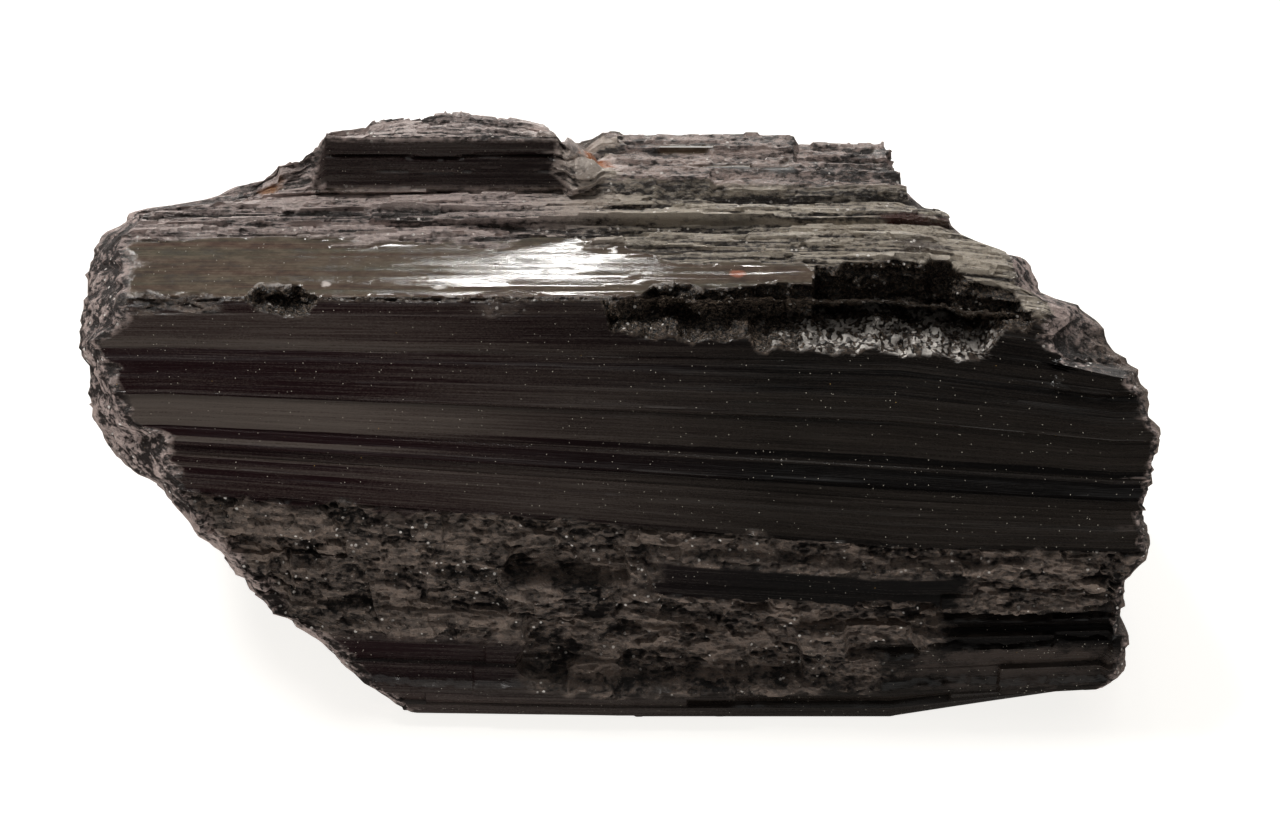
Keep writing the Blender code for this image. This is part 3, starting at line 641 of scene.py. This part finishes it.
def cap(ring, end):
    """Inner points and triangles that close one end. Triangles count the ring's points first."""
    edge = [(point[1], point[2]) for point in ring]
    low, high = ring[:, 1:].min(axis=0), ring[:, 1:].max(axis=0)
    rows = int((high[1] - low[1]) / CAP_GAP) + 1
    columns = int((high[0] - low[0]) / CAP_GAP) + 1
    row, column = np.divmod(np.arange(rows * columns), columns)
    y = low[0] + (column + 0.5 * (row % 2) + 0.25 * hashed(column, row, 51)) * CAP_GAP
    z = low[1] + (row + 0.25 * hashed(column, row, 52)) * CAP_GAP
    gap = np.hypot(y[:, None] - ring[:, 1], z[:, None] - ring[:, 2]).min(axis=1)
    inner = [pair for pair, clear in zip(zip(y, z), gap > 0.4 * CAP_GAP) if clear]
    places, _, faces, sources, _, _ = delaunay_2d_cdt(edge + inner, [], [list(range(len(edge)))], 1, 1e-5)
    places = np.array(places)
    points = np.column_stack([end_x(*places.T, end), places])
    for place, source in enumerate(sources):
        ring_points = [index for index in source if index < len(edge)]
        if ring_points:
            points[place] = ring[ring_points[0]]
    return points, faces, sources, len(edge)


def add_cap(points, faces, ring_index, end):
    """Close one end of the mesh, turning its triangles to face out."""
    ring = np.array([points[index] for index in ring_index])
    cap_points, triangles, sources, edge_count = cap(ring, end)
    index_of = {}
    for place in sorted({corner for triangle in triangles for corner in triangle}):
        ring_places = [index for index in sources[place] if index < edge_count]
        if ring_places:
            index_of[place] = ring_index[ring_places[0]]
        else:
            index_of[place] = len(points)
            points.append(cap_points[place])
    for triangle in triangles:
        corners = cap_points[triangle]
        facing = np.cross(corners[1] - corners[0], corners[2] - corners[0])[0]
        order = triangle if facing * end[-1] > 0 else triangle[::-1]
        faces.append([index_of[corner] for corner in order])


def surface_shares(x, girth, left, right):
    """How much of each kind of ground there is at every mesh point of the sides."""
    shares = {
        "front": rough_front_share(x, girth),
        "strip": top_strip_share(x, girth),
        "top": slab_top_share(x, girth),
        "right slab": right_slab_share(x, girth),
        "notch": notch_share(x, girth),
        "edge": edge_chip_share(x, girth),
        "back": back_band_share(girth),
        "end": end_share(x, girth, left, right),
    }
    shares["broken"] = np.max(list(shares.values()), axis=0) * (1 - 0.5 * ramp(girth, 63.0, 70.0))
    return shares


def crystal_mesh():
    """The whole crystal's points in millimetres, its faces, and the named values at its points."""
    lines_girth = mesh_girths()
    x, left, right = mesh_stations(lines_girth)
    stations, lines = x.shape
    girth = np.repeat(lines_girth[None, :], stations, axis=0)
    shares = surface_shares(x, girth, left, right)
    relief = fine_relief(x, girth, shares)
    points = list(side_points(x, girth, relief).reshape(-1, 3))
    station, line = np.divmod(np.arange((stations - 1) * lines), lines)
    here = station * lines + line
    beside = station * lines + (line + 1) % lines
    faces = np.stack([here, here + lines, beside + lines, beside], axis=1).tolist()
    for end, first in zip(ENDS, (0, (stations - 1) * lines)):
        add_cap(points, faces, list(range(first, first + lines)), end)
    points = np.array(points)
    return points, faces, point_values(x, girth, shares, relief, points[x.size:])


def point_values(x, girth, shares, relief, end_points):
    """Values for the material, one per point: the sides' own, and then the broken ends'."""
    end_place, y, z = end_points.T
    on_right = end_place > 0
    nothing = np.zeros(y.shape)
    rise, depth = rise_and_depth(y, z)
    near_edge = 1 - ramp(depth - front_depth(rise), 5.0, 12.0)
    seen_end = near_edge * np.where(on_right, ramp(z, 33.0, 36.0), 1.0)
    seen_top = shares["top"] * (1 - ramp(girth, *WORN_TOP_END))
    worn_end = shares["end"] * (1 - 0.7 * ramp(girth, *WORN_END_WEAKENS))
    worn = np.maximum(np.maximum(worn_end, seen_top), 0.5 * shares["right slab"])
    values = {
        "along": (x, nothing),
        "girth": (girth, nothing),
        "broken": (shares["broken"], 0.5 + 0.5 * near_edge),
        "crumbled": (shares["notch"], nothing),
        "strip": (np.maximum(shares["strip"], seen_top), nothing),
        "worn": (worn, 0.1 + 0.9 * seen_end),
        "relief": (relief, np.where(on_right, end_flakes(y, z, 1), end_flakes(y, z, -1))),
    }
    return {name: np.concatenate([sides.ravel(), ends]) for name, (sides, ends) in values.items()}


def placed(name, data):
    """A new object in the scene."""
    new = bpy.data.objects.new(name, data)
    bpy.context.scene.collection.objects.link(new)
    return new


def fitted(points):
    """Points of the form, in metres, moved into the solid's frame and kept inside its box."""
    moved = points - np.array([FORM_CENTRE[0], FORM_CENTRE[1], 0.0]) * MM
    return np.clip(moved, *(np.array(corner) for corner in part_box(NODE)))


def thinned(mesh):
    """A copy of the mesh with its triangles left where the surface needs them."""
    dense = placed("dense", mesh)
    dense.modifiers.new("triangles", "TRIANGULATE")
    modifier = dense.modifiers.new("thin", "DECIMATE")
    mesh.calc_loop_triangles()
    modifier.ratio = min(1.0, MOST_TRIANGLES / len(mesh.loop_triangles))
    graph = bpy.context.evaluated_depsgraph_get()
    thin = bpy.data.meshes.new_from_object(dense.evaluated_get(graph))
    bpy.data.objects.remove(dense)
    bpy.data.meshes.remove(mesh)
    return thin


def to_frame(point):
    """A point of the form, in metres in the solid's frame."""
    return Vector((point[0] - FORM_CENTRE[0], point[1] - FORM_CENTRE[1], point[2])) * MM


# ---------------------------------------------------------------- colours

# Growth bands, as (girth where each starts, lightness from black to light grey), up to the last girth. Their
# lighter greys are partly the bands' own tone and partly painted sheen.
BANDS_UP_TO = 138.0
BACK_BANDS = ((86.0, 0.45), (91.0, 0.2), (96.0, 0.5), (101.0, 0.25), (112.5, 0.3))
LEFT_BANDS = (
    (0.0, 0.3), (4.4, 0.1), (6.6, 0.02), (8.6, 0.15), (23.4, 0.25), (24.3, 0.1), (25.5, 0.4), (26.0, 0.1),
    (26.7, 0.5), (27.1, 0.15), (28.1, 0.75), (29.1, 0.0), (29.8, 0.95), (33.4, 0.2), (33.6, 1.0),
    (33.9, 0.1), (38.2, 0.75), (38.9, 0.45), (41.9, 0.15), (43.2, 0.5),
    (56.3, 0.35), (57.4, 0.6), (57.6, 0.3), (58.8, 0.5), (72.5, 0.1), (77.0, 0.6), (81.5, 0.15),
) + BACK_BANDS
RIGHT_BANDS = (
    (0.0, 0.5), (4.4, 0.3), (9.6, 0.15), (15.4, 0.12), (21.0, 0.3), (23.4, 0.55), (27.5, 0.02), (29.5, 0.35),
    (29.8, 0.02), (30.7, 0.55), (33.3, 0.5), (35.3, 0.3), (37.0, 0.15), (37.6, 0.35), (39.0, 0.2),
    (41.9, 0.3), (43.2, 0.45),
    (56.3, 0.2), (58.0, 0.3), (72.5, 0.15), (77.0, 0.5), (81.5, 0.1),
) + BACK_BANDS
# How much of the top's olive skin there is, as (girth where it starts, share).
SKIN_BANDS = ((0.0, 0.0), (43.4, 1.0), (56.3, 0.0), (59.0, 1.0), (68.6, 0.6), (72.5, 0.0))
BLACK = (0.0028, 0.0022, 0.0022)
MAROON_BLACK = (0.0125, 0.0036, 0.0048)
# The lighter bands' olive greys, partly their own tone and partly painted sheen.
GREY_OLIVE_AND_SHEEN = (0.110, 0.088, 0.075)
DARK_OLIVE_AND_SHEEN = (0.032, 0.0245, 0.0195)
TOP_OLIVE = (0.084, 0.072, 0.045)
TOP_PALE = (0.175, 0.135, 0.096)
TAN = (0.105, 0.059, 0.040)
BROKEN_DARK = (0.0070, 0.0050, 0.0046)
BROKEN_LIGHT = (0.265, 0.205, 0.170)
STRIP_DARK = (0.028, 0.021, 0.018)
STRIP_PINK = (0.59, 0.485, 0.455)
STRIP_OLIVE = (0.53, 0.465, 0.385)
WORN_DARK = (0.026, 0.018, 0.016)
WORN_LIGHT = (0.58, 0.455, 0.42)
CRUMB_LIGHT = (0.23, 0.17, 0.125)
# A near-white painted highlight, laid where crystal faces would glint.
PAINTED_GLINT = (0.92, 0.87, 0.82)
DUST = (0.55, 0.50, 0.42)
GOLD_DUST = (0.45, 0.27, 0.09)
# Stains and pale spots, as (x, girth, half length, half width, colour).
STAINS = (
    (-6.2, 61.5, 2.4, 1.3, (0.84, 0.73, 0.69)),      # pale break on the high slab's right end
    (-3.2, 60.4, 2.6, 1.6, (0.84, 0.73, 0.69)),
    (-0.8, 59.3, 1.6, 1.2, (0.84, 0.73, 0.69)),
    (-1.9, 59.3, 1.5, 1.1, (0.46, 0.16, 0.05)),      # iron stain in it
    (10.6, 46.2, 0.8, 0.5, (0.34, 0.12, 0.07)),      # reddish spot on the top
    (-26.0, 45.1, 0.5, 0.3, (0.70, 0.62, 0.58)),     # two pale crumbs on the top
    (-15.9, 44.8, 0.75, 0.3, (0.85, 0.80, 0.76)),
    (26.8, 52.8, 3.6, 0.5, (0.070, 0.024, 0.016)),   # brown-red band on the right of the top
    (27.3, 49.6, 2.0, 1.1, (0.11, 0.088, 0.072)),    # paler patch in front of it
    (-31.4, 57.4, 1.1, 0.7, (0.32, 0.16, 0.08)),     # orange patch left of the high slab
    (36.5, 6.8, 10.0, 2.6, (0.052, 0.039, 0.033)),   # paler foot at the right
)
# Stretches of x over which the left bands give way to the right ones, maroon to black, and the strip's
# pink to olive.
BANDS_CHANGE = (-27.0, -4.0)
MAROON_ENDS = (-20.0, 14.0)
PINK_ENDS = (-10.0, 2.0)

# ---------------------------------------------------------------- texture

REFRACTIVE_INDEX = 1.63
# Values kept at the mesh's points.
POINT_VALUES = ("along", "girth", "broken", "worn", "crumbled", "strip", "relief")
# Nearly all of a noise lies in this range.
NOISE_RANGE = (0.3, 0.7)
# Noises, as (cells per metre along each axis, detail, roughness).
PATCHY = ((380.0, 700.0, 700.0), 6.0, 0.7)
FINE_PATCHY = ((1500.0, 2300.0, 2300.0), 3.0, 0.6)
SPECKLE = ((4500.0, 9000.0, 9000.0), 2.0, 0.6)
MOTTLE = ((520.0, 1300.0, 1300.0), 7.0, 0.75)
GRAINS = ((3000.0, 3600.0, 3600.0), 4.0, 0.8)
PITS = ((2200.0, 3400.0, 3400.0), 4.0, 0.7)
# Clusters that gather the painted glint specks.
PAINTED_GLINT_CLUSTERS = ((160.0, 260.0, 260.0), 4.0, 0.55)
# Streaks, as (cells per millimetre along the crystal, cells per millimetre of girth).
STREAKS = (0.035, 1.5)
FINE_STREAKS = (0.09, 6.5)
SPLINTER_STREAKS = (0.13, 4.6)
STRIA_STREAKS = (0.12, 9.0)
STREAK_DETAIL = 4.0
STREAK_ROUGHNESS = 0.6
# Specks, as (cells per metre, size in cells, share of the cells that have one).
DUST_SPECKS = (2600.0, 0.12, 0.34)
GOLD_SPECKS = (1900.0, 0.09, 0.1)
# The glint specks are painted highlights.
PAINTED_GLINT_SPECKS = (1400.0, 0.22, 0.45)
# Painted glints standing for bright crystal faces on the notch's front ledge, and the ledge as (x, girth,
# half length, half width).
PAINTED_GLINT_CELLS = 2700.0
PAINTED_GLINT_LEDGE = (24.5, 40.5, 9.5, 2.6)
# How uneven a stain's outline is, and where its edge fades, in its own half widths squared.
PATCH_WAVER = 1.1
PATCH_EDGE = (0.2, 1.3)
# Relief, in millimetres either way, over which broken ground goes from painted shade in hollows to painted
# light on rises.
RELIEF_RANGE = 0.55
# Roughness of each kind of surface, from its darkest to its lightest places.
BAND_ROUGHNESS = (0.18, 0.38)
SKIN_ROUGHNESS = (0.05, 0.17)
GROUND_ROUGHNESS = (0.55, 0.26)
SPLINTER_ROUGHNESS = (0.5, 0.18)
FLAKE_ROUGHNESS = 0.12
CRUMB_ROUGHNESS = 0.27
DUST_ROUGHNESS = 0.8
# Bumps, as (strength, height in metres), and how much of them the smooth skin and faces keep.
STRIA_BUMP = (0.6, 0.00005)
PIT_BUMP = (0.9, 0.00034)
SKIN_STRIAE = 0.07
SMOOTH_PITS = 0.008
SHARP_ANGLE = np.radians(22.0)


class Nodes:
    """Short ways to add and join the nodes of a material or a world."""

    def __init__(self, owner):
        owner.use_nodes = True
        self.tree = owner.node_tree

    def feed(self, node, inputs):
        """Set a node's inputs to numbers, vectors or colours, or link other nodes' outputs to them."""
        for name, source in inputs.items():
            target = node.inputs[name]
            if isinstance(source, bpy.types.NodeSocket):
                self.tree.links.new(source, target)
            elif isinstance(source, tuple):
                target.default_value = (*source, 1.0)[:len(target.default_value)]
            else:
                target.default_value = source
        return node

    def add(self, kind, inputs, **settings):
        node = self.tree.nodes.new(kind)
        for name, value in settings.items():
            setattr(node, name, value)
        return self.feed(node, inputs)

    def place(self, scale):
        """Object coordinates, in metres, stretched by the given scale along each axis."""
        coordinate = self.add("ShaderNodeTexCoord", {}).outputs["Object"]
        return self.add("ShaderNodeMapping", {"Scale": scale, "Vector": coordinate}).outputs["Vector"]

    def noise_at(self, vector, detail, roughness):
        """Noise with one cell per unit of the vector."""
        inputs = {"Scale": 1.0, "Detail": detail, "Roughness": roughness, "Vector": vector}
        return self.add("ShaderNodeTexNoise", inputs).outputs["Fac"]

    def noise(self, scale, detail, roughness):
        """Noise whose cells are 1 / scale metres along each axis."""
        return self.noise_at(self.place(scale), detail, roughness)

    def streaks(self, on, along_scale, girth_scale):
        """Noise drawn out along the crystal, in cells per millimetre each way."""
        place = {"X": self.times(on.along, along_scale), "Y": self.times(on.girth, girth_scale)}
        vector = self.add("ShaderNodeCombineXYZ", place).outputs["Vector"]
        return self.noise_at(vector, STREAK_DETAIL, STREAK_ROUGHNESS)

    def cells(self, scale, output="Color"):
        """Voronoi cells 1 / scale metres across."""
        inputs = {"Scale": 1.0, "Vector": self.place((scale, scale, scale))}
        return self.add("ShaderNodeTexVoronoi", inputs).outputs[output]

    def value(self, name):
        """A value stored at the mesh's points."""
        return self.add("ShaderNodeAttribute", {}, attribute_name=name).outputs["Fac"]

    def spread(self, source, low, high, to_low=0.0, to_high=1.0):
        """Map low..high to another range, clamped."""
        inputs = {"Value": source, "From Min": low, "From Max": high, "To Min": to_low, "To Max": to_high}
        return self.add("ShaderNodeMapRange", inputs).outputs["Result"]

    def maths(self, operation, first, second):
        return self.add("ShaderNodeMath", {0: first, 1: second}, operation=operation).outputs[0]

    def plus(self, first, second):
        return self.maths("ADD", first, second)

    def times(self, first, second):
        return self.maths("MULTIPLY", first, second)

    def stirred(self, source, noise, low, high):
        """A value shifted by low where a noise is low, and by high where it is high."""
        return self.plus(source, self.spread(noise, *NOISE_RANGE, low, high))

    def stepped(self, source, steps):
        """A constant value from each step's girth up to the next."""
        place = self.spread(source, 0.0, BANDS_UP_TO)
        node = self.add("ShaderNodeValToRGB", {"Fac": place})
        node.color_ramp.interpolation = "CONSTANT"
        elements = node.color_ramp.elements
        while len(elements) < len(steps):
            elements.new(0.5)
        for element, (start, value) in zip(elements, steps):
            element.position = start / BANDS_UP_TO
            element.color = (value, value, value, 1.0)
        return node.outputs["Color"]

    def specks(self, scale, size, kept):
        """Small round grains, up to one in each cell 1 / scale metres across."""
        near = self.spread(self.cells(scale, "Distance"), 0.8 * size, size, 1.0, 0.0)
        return self.times(near, self.maths("LESS_THAN", self.cells(scale), kept))

    def patch(self, on, x, girth, half_x, half_girth):
        """1 inside an uneven patch round (x, girth), fading to 0 at its edge."""
        off_x = self.times(self.maths("SUBTRACT", on.along, x), 1.0 / half_x)
        off_girth = self.times(self.maths("SUBTRACT", on.girth, girth), 1.0 / half_girth)
        square = self.plus(self.maths("POWER", off_x, 2.0), self.maths("POWER", off_girth, 2.0))
        return self.spread(self.stirred(square, on.patchy, PATCH_WAVER, -PATCH_WAVER), *PATCH_EDGE, 1.0, 0.0)

    def mix(self, share, first, second, kind="RGBA"):
        """Blend two colours."""
        inputs = {"Factor": share, "A": first, "B": second}
        return self.add("ShaderNodeMix", inputs, data_type=kind).outputs["Result"]

    def mix_value(self, share, first, second):
        """Blend two numbers."""
        return self.mix(share, first, second, "FLOAT")

    def facing(self, direction, towards):
        """1 where a direction points along another, 0 across it, -1 against it."""
        inputs = {0: direction, 1: towards}
        return self.add("ShaderNodeVectorMath", inputs, operation="DOT_PRODUCT").outputs["Value"]

    def bump(self, height, strength, distance, **below):
        """A normal tilted by the height, on top of another bump's Normal where one is given."""
        inputs = {"Height": height, "Strength": strength, "Distance": distance, **below}
        return self.add("ShaderNodeBump", inputs).outputs["Normal"]


def shared_values(nodes):
    """What the parts of the material share: the mesh's own values, and a few noises."""
    on = SimpleNamespace(**{name: nodes.value(name) for name in POINT_VALUES})
    on.patchy = nodes.noise(*PATCHY)
    on.fine_patchy = nodes.noise(*FINE_PATCHY)
    on.streaks = nodes.streaks(on, *STREAKS)
    on.fine_streaks = nodes.streaks(on, *FINE_STREAKS)
    on.mottle = nodes.stirred(nodes.noise(*MOTTLE), on.fine_streaks, -0.1, 0.1)
    on.skin = nodes.stepped(nodes.stirred(on.girth, on.patchy, -0.12, 0.12), SKIN_BANDS)
    return on


def band_tone(nodes, on):
    """Lightness of the growth bands, partly their own tone and partly painted sheen, which change from the
    left end to the right and are finely streaked.
    """
    place = nodes.stirred(on.girth, on.fine_streaks, -0.06, 0.06)
    left, right = nodes.stepped(place, LEFT_BANDS), nodes.stepped(place, RIGHT_BANDS)
    tone = nodes.mix_value(nodes.spread(on.along, *BANDS_CHANGE), left, right)
    tone = nodes.stirred(tone, on.streaks, -0.12, 0.12)
    tone = nodes.stirred(tone, on.fine_streaks, -0.28, 0.16)
    tone = nodes.stirred(tone, nodes.noise(*SPECKLE), -0.14, 0.14)
    return nodes.spread(tone, 0.0, 1.0)


def ground_tones(nodes, on):
    """Lightness of the broken ground and of the splintery strip, with painted shade in their hollows and
    grooves and painted light where they stand out.
    """
    # Painted shade in hollows and grooves and painted light on raised parts, from the relief.
    height = nodes.spread(on.relief, -RELIEF_RANGE, RELIEF_RANGE, -0.17, 0.17)
    ground = nodes.plus(nodes.stirred(on.patchy, on.fine_patchy, -0.17, 0.17), height)
    splinter = nodes.stirred(height, on.fine_patchy, -0.13, 0.13)
    splinter = nodes.plus(nodes.streaks(on, *SPLINTER_STREAKS), splinter)
    return nodes.spread(ground, 0.33, 0.70), nodes.spread(splinter, 0.36, 0.57)


def smooth_colour(nodes, on):
    """Maroon and grey bands that turn black and olive to the right, the grey partly painted sheen, under the
    top's mottled olive skin.
    """
    to_right = nodes.spread(on.along, *MAROON_ENDS)
    dark = nodes.mix(to_right, MAROON_BLACK, BLACK)
    # The lighter bands, partly painted sheen.
    light = nodes.mix(to_right, GREY_OLIVE_AND_SHEEN, DARK_OLIVE_AND_SHEEN)
    skin = nodes.mix(nodes.spread(on.streaks, 0.35, 0.65), TAN, TOP_OLIVE)
    skin = nodes.mix(nodes.spread(on.mottle, 0.51, 0.64, 0.0, 0.6), skin, MAROON_BLACK)
    skin = nodes.mix(nodes.spread(on.mottle, 0.49, 0.38, 0.0, 0.65), skin, TOP_PALE)
    skin_share = nodes.times(on.skin, nodes.spread(on.along, -20.0, -10.0, 0.95, 0.8))
    return nodes.mix(skin_share, nodes.mix(on.tone, dark, light), skin)


def notch_colour(nodes, on, colour):
    """Colour with the notch's black crumbs laid over it, and painted glint spots where crystal faces along
    its front ledge would shine.
    """
    grains = nodes.spread(nodes.noise(*GRAINS), 0.46, 0.66)
    # Painted glints in spots along the front ledge.
    painted_ledge_glints = nodes.spread(nodes.cells(PAINTED_GLINT_CELLS), 0.48, 0.58)
    painted_ledge_glints = nodes.times(painted_ledge_glints, nodes.spread(on.patchy, 0.38, 0.5))
    painted_ledge_glints = nodes.times(painted_ledge_glints, nodes.patch(on, *PAINTED_GLINT_LEDGE))
    colour = nodes.mix(on.crumbled, colour, nodes.mix(grains, BLACK, CRUMB_LIGHT))
    return nodes.mix(nodes.times(painted_ledge_glints, on.crumbled), colour, PAINTED_GLINT)


def broken_colour(nodes, on, colour):
    """Colour with the broken ground, its worn edges and the splintery strip laid over it."""
    colour = nodes.mix(on.broken, colour, nodes.mix(on.ground, BROKEN_DARK, BROKEN_LIGHT))
    worn = nodes.mix(nodes.spread(on.ground, 0.2, 0.75), WORN_DARK, WORN_LIGHT)
    colour = nodes.mix(on.worn, colour, worn)
    strip_light = nodes.mix(nodes.spread(on.along, *PINK_ENDS), STRIP_PINK, STRIP_OLIVE)
    return nodes.mix(on.strip, colour, nodes.mix(on.splinter, STRIP_DARK, strip_light))


def dusty_colour(nodes, on, colour):
    """Colour with painted glint specks on the broken ground, and pale and golden dust everywhere."""
    # Painted glint specks, near white, on the broken ground.
    painted_glints = nodes.times(nodes.specks(*PAINTED_GLINT_SPECKS), on.broken)
    painted_glints = nodes.times(painted_glints, nodes.spread(nodes.noise(*PAINTED_GLINT_CLUSTERS), 0.46, 0.56))
    colour = nodes.mix(painted_glints, colour, PAINTED_GLINT)
    colour = nodes.mix(on.dust, colour, DUST)
    return nodes.mix(nodes.specks(*GOLD_SPECKS), colour, GOLD_DUST)


def surface_roughness(nodes, on):
    """Glossy skin and bands, duller broken ground with glossy flakes in it, and dull dust."""
    streaked = nodes.stirred(on.tone, on.fine_streaks, -0.4, 0.4)
    bands = nodes.spread(streaked, 0.0, 1.0, *BAND_ROUGHNESS)
    shine = nodes.stirred(on.streaks, on.patchy, -0.2, 0.2)
    shine = nodes.plus(shine, nodes.spread(on.mottle, 0.4, 0.7, -0.15, 0.25))
    smooth = nodes.mix_value(on.skin, bands, nodes.spread(shine, 0.45, 0.75, *SKIN_ROUGHNESS))
    ground = nodes.spread(on.ground, 0.0, 1.0, *GROUND_ROUGHNESS)
    broken = nodes.mix_value(on.strip, ground, nodes.spread(on.splinter, 0.0, 1.0, *SPLINTER_ROUGHNESS))
    broken = nodes.mix_value(nodes.spread(on.fine_patchy, 0.52, 0.62), broken, FLAKE_ROUGHNESS)
    rough = nodes.mix_value(on.broken, smooth, broken)
    rough = nodes.mix_value(on.crumbled, rough, CRUMB_ROUGHNESS)
    return nodes.mix_value(on.dust, rough, DUST_ROUGHNESS)


def surface_normal(nodes, on):
    """Fine striations on the smooth faces and pits on the broken ground, and hardly any on the skin."""
    strength = nodes.spread(on.broken, 0.0, 1.0, 1.0, 0.2)
    strength = nodes.times(strength, nodes.mix_value(on.skin, 1.0, SKIN_STRIAE))
    striae = nodes.times(nodes.streaks(on, *STRIA_STREAKS), strength)
    pit_strength = nodes.spread(on.broken, 0.0, 1.0, SMOOTH_PITS, 1.0)
    pits = nodes.times(nodes.noise(*PITS), pit_strength)
    return nodes.bump(pits, *PIT_BUMP, Normal=nodes.bump(striae, *STRIA_BUMP))


def black_tourmaline():
    """Glassy black faces in maroon and olive-grey bands, and duller broken ground with dust and stains."""
    material = bpy.data.materials.new("black_tourmaline")
    nodes = Nodes(material)
    on = shared_values(nodes)
    on.tone = band_tone(nodes, on)
    on.ground, on.splinter = ground_tones(nodes, on)
    on.dust = nodes.specks(*DUST_SPECKS)
    colour = broken_colour(nodes, on, smooth_colour(nodes, on))
    colour = notch_colour(nodes, on, colour)
    for *place, stain_colour in STAINS:
        colour = nodes.mix(nodes.patch(on, *place), colour, stain_colour)
    nodes.feed(nodes.tree.nodes["Principled BSDF"], {
        "Base Color": dusty_colour(nodes, on, colour),
        "Roughness": surface_roughness(nodes, on),
        "Normal": surface_normal(nodes, on),
        "IOR": REFRACTIVE_INDEX,
        "Metallic": 0.0,
    })
    return material


def build_crystal():
    """The crystal's own mesh, in place of the plain solid."""
    points, faces, values = crystal_mesh()
    dense = bpy.data.meshes.new("dense")
    dense.from_pydata((points * MM).tolist(), [], faces)
    for name, value in values.items():
        layer = dense.attributes.new(name, "FLOAT", "POINT")
        layer.data.foreach_set("value", value.astype(np.float32))
    mesh = thinned(dense)
    mesh.name = "crystal"
    places = np.empty(3 * len(mesh.vertices), np.float32)
    mesh.vertices.foreach_get("co", places)
    mesh.vertices.foreach_set("co", fitted(places.reshape(-1, 3)).astype(np.float32).ravel())
    mesh.shade_smooth()
    mesh.set_sharp_from_angle(angle=SHARP_ANGLE)
    mesh.materials.append(black_tourmaline())
    crystal = placed("crystal", mesh)
    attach(crystal, "root")
    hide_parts(NODE)


def build_floor():
    """A plain pale floor, wide enough to fill every view."""
    mesh = bpy.data.meshes.new("floor")
    corners = [(FLOOR_HALF * x, FLOOR_HALF * y, 0) for x, y in ((-1, -1), (1, -1), (1, 1), (-1, 1))]
    mesh.from_pydata(corners, [], [(0, 1, 2, 3)])
    material = bpy.data.materials.new("white_paper")
    nodes = Nodes(material)
    nodes.feed(nodes.tree.nodes["Principled BSDF"], {
        "Base Color": FLOOR_COLOUR,
        "Roughness": FLOOR_ROUGHNESS,
        "Specular IOR Level": 0.0,
        "Emission Color": PAPER_WHITE,
        "Emission Strength": FLOOR_GLOW,
    })
    mesh.materials.append(material)
    floor = placed("floor", mesh)
    floor.visible_glossy = False


def build_sky():
    """Light like a white tent's: bright behind and overhead, and dim towards the front."""
    world = bpy.data.worlds.new("tent")
    nodes = Nodes(world)
    direction = nodes.add("ShaderNodeTexCoord", {}).outputs["Generated"]
    dome = nodes.spread(nodes.facing(direction, DOME_DIRECTION), *DOME_RAMP, DOME_DIM, DOME_BRIGHT)
    cloth = nodes.facing(direction, BACK_DIRECTION)
    back = nodes.spread(cloth, np.cos(BACK_REACH), np.cos(BACK_CORE), 0.0, BACK_BRIGHT)
    above = nodes.spread(nodes.facing(direction, (0.0, 0.0, 1.0)), -HORIZON, HORIZON)
    strength = nodes.mix_value(above, GROUND_GLOW, nodes.plus(dome, back))
    nodes.feed(nodes.tree.nodes["Background"], {"Strength": strength, "Color": PAPER_WHITE})
    bpy.context.scene.world = world


def build_lamps():
    """The lamps above and behind."""
    for name, direction, angle, strength in LAMPS:
        light = bpy.data.lights.new(name, "SUN")
        light.energy = strength
        light.angle = np.radians(angle)
        light.color = LAMP_WHITE
        placed(name, light).rotation_euler = Vector(direction).to_track_quat("Z", "Y").to_euler()


def build_camera():
    """Level with the photograph's view: from the front and 40 degrees above."""
    data = bpy.data.cameras.new("camera")
    data.sensor_width = SENSOR_MM
    data.lens = SENSOR_MM * VIEW_DISTANCE * PIXELS_PER_MM / PHOTO_WIDTH
    data.clip_start, data.clip_end = CLIP
    camera = placed("camera", data)
    target = to_frame(VIEW_TARGET)
    back = Vector((0.0, -np.cos(VIEW_ELEVATION), np.sin(VIEW_ELEVATION)))
    camera.location = target + back * VIEW_DISTANCE * MM
    camera.rotation_euler = back.to_track_quat("Z", "Y").to_euler()
    bpy.context.scene.camera = camera


build_camera()
build_sky()
build_lamps()
build_floor()
build_crystal()
bpy.context.scene.view_settings.view_transform = "Standard"
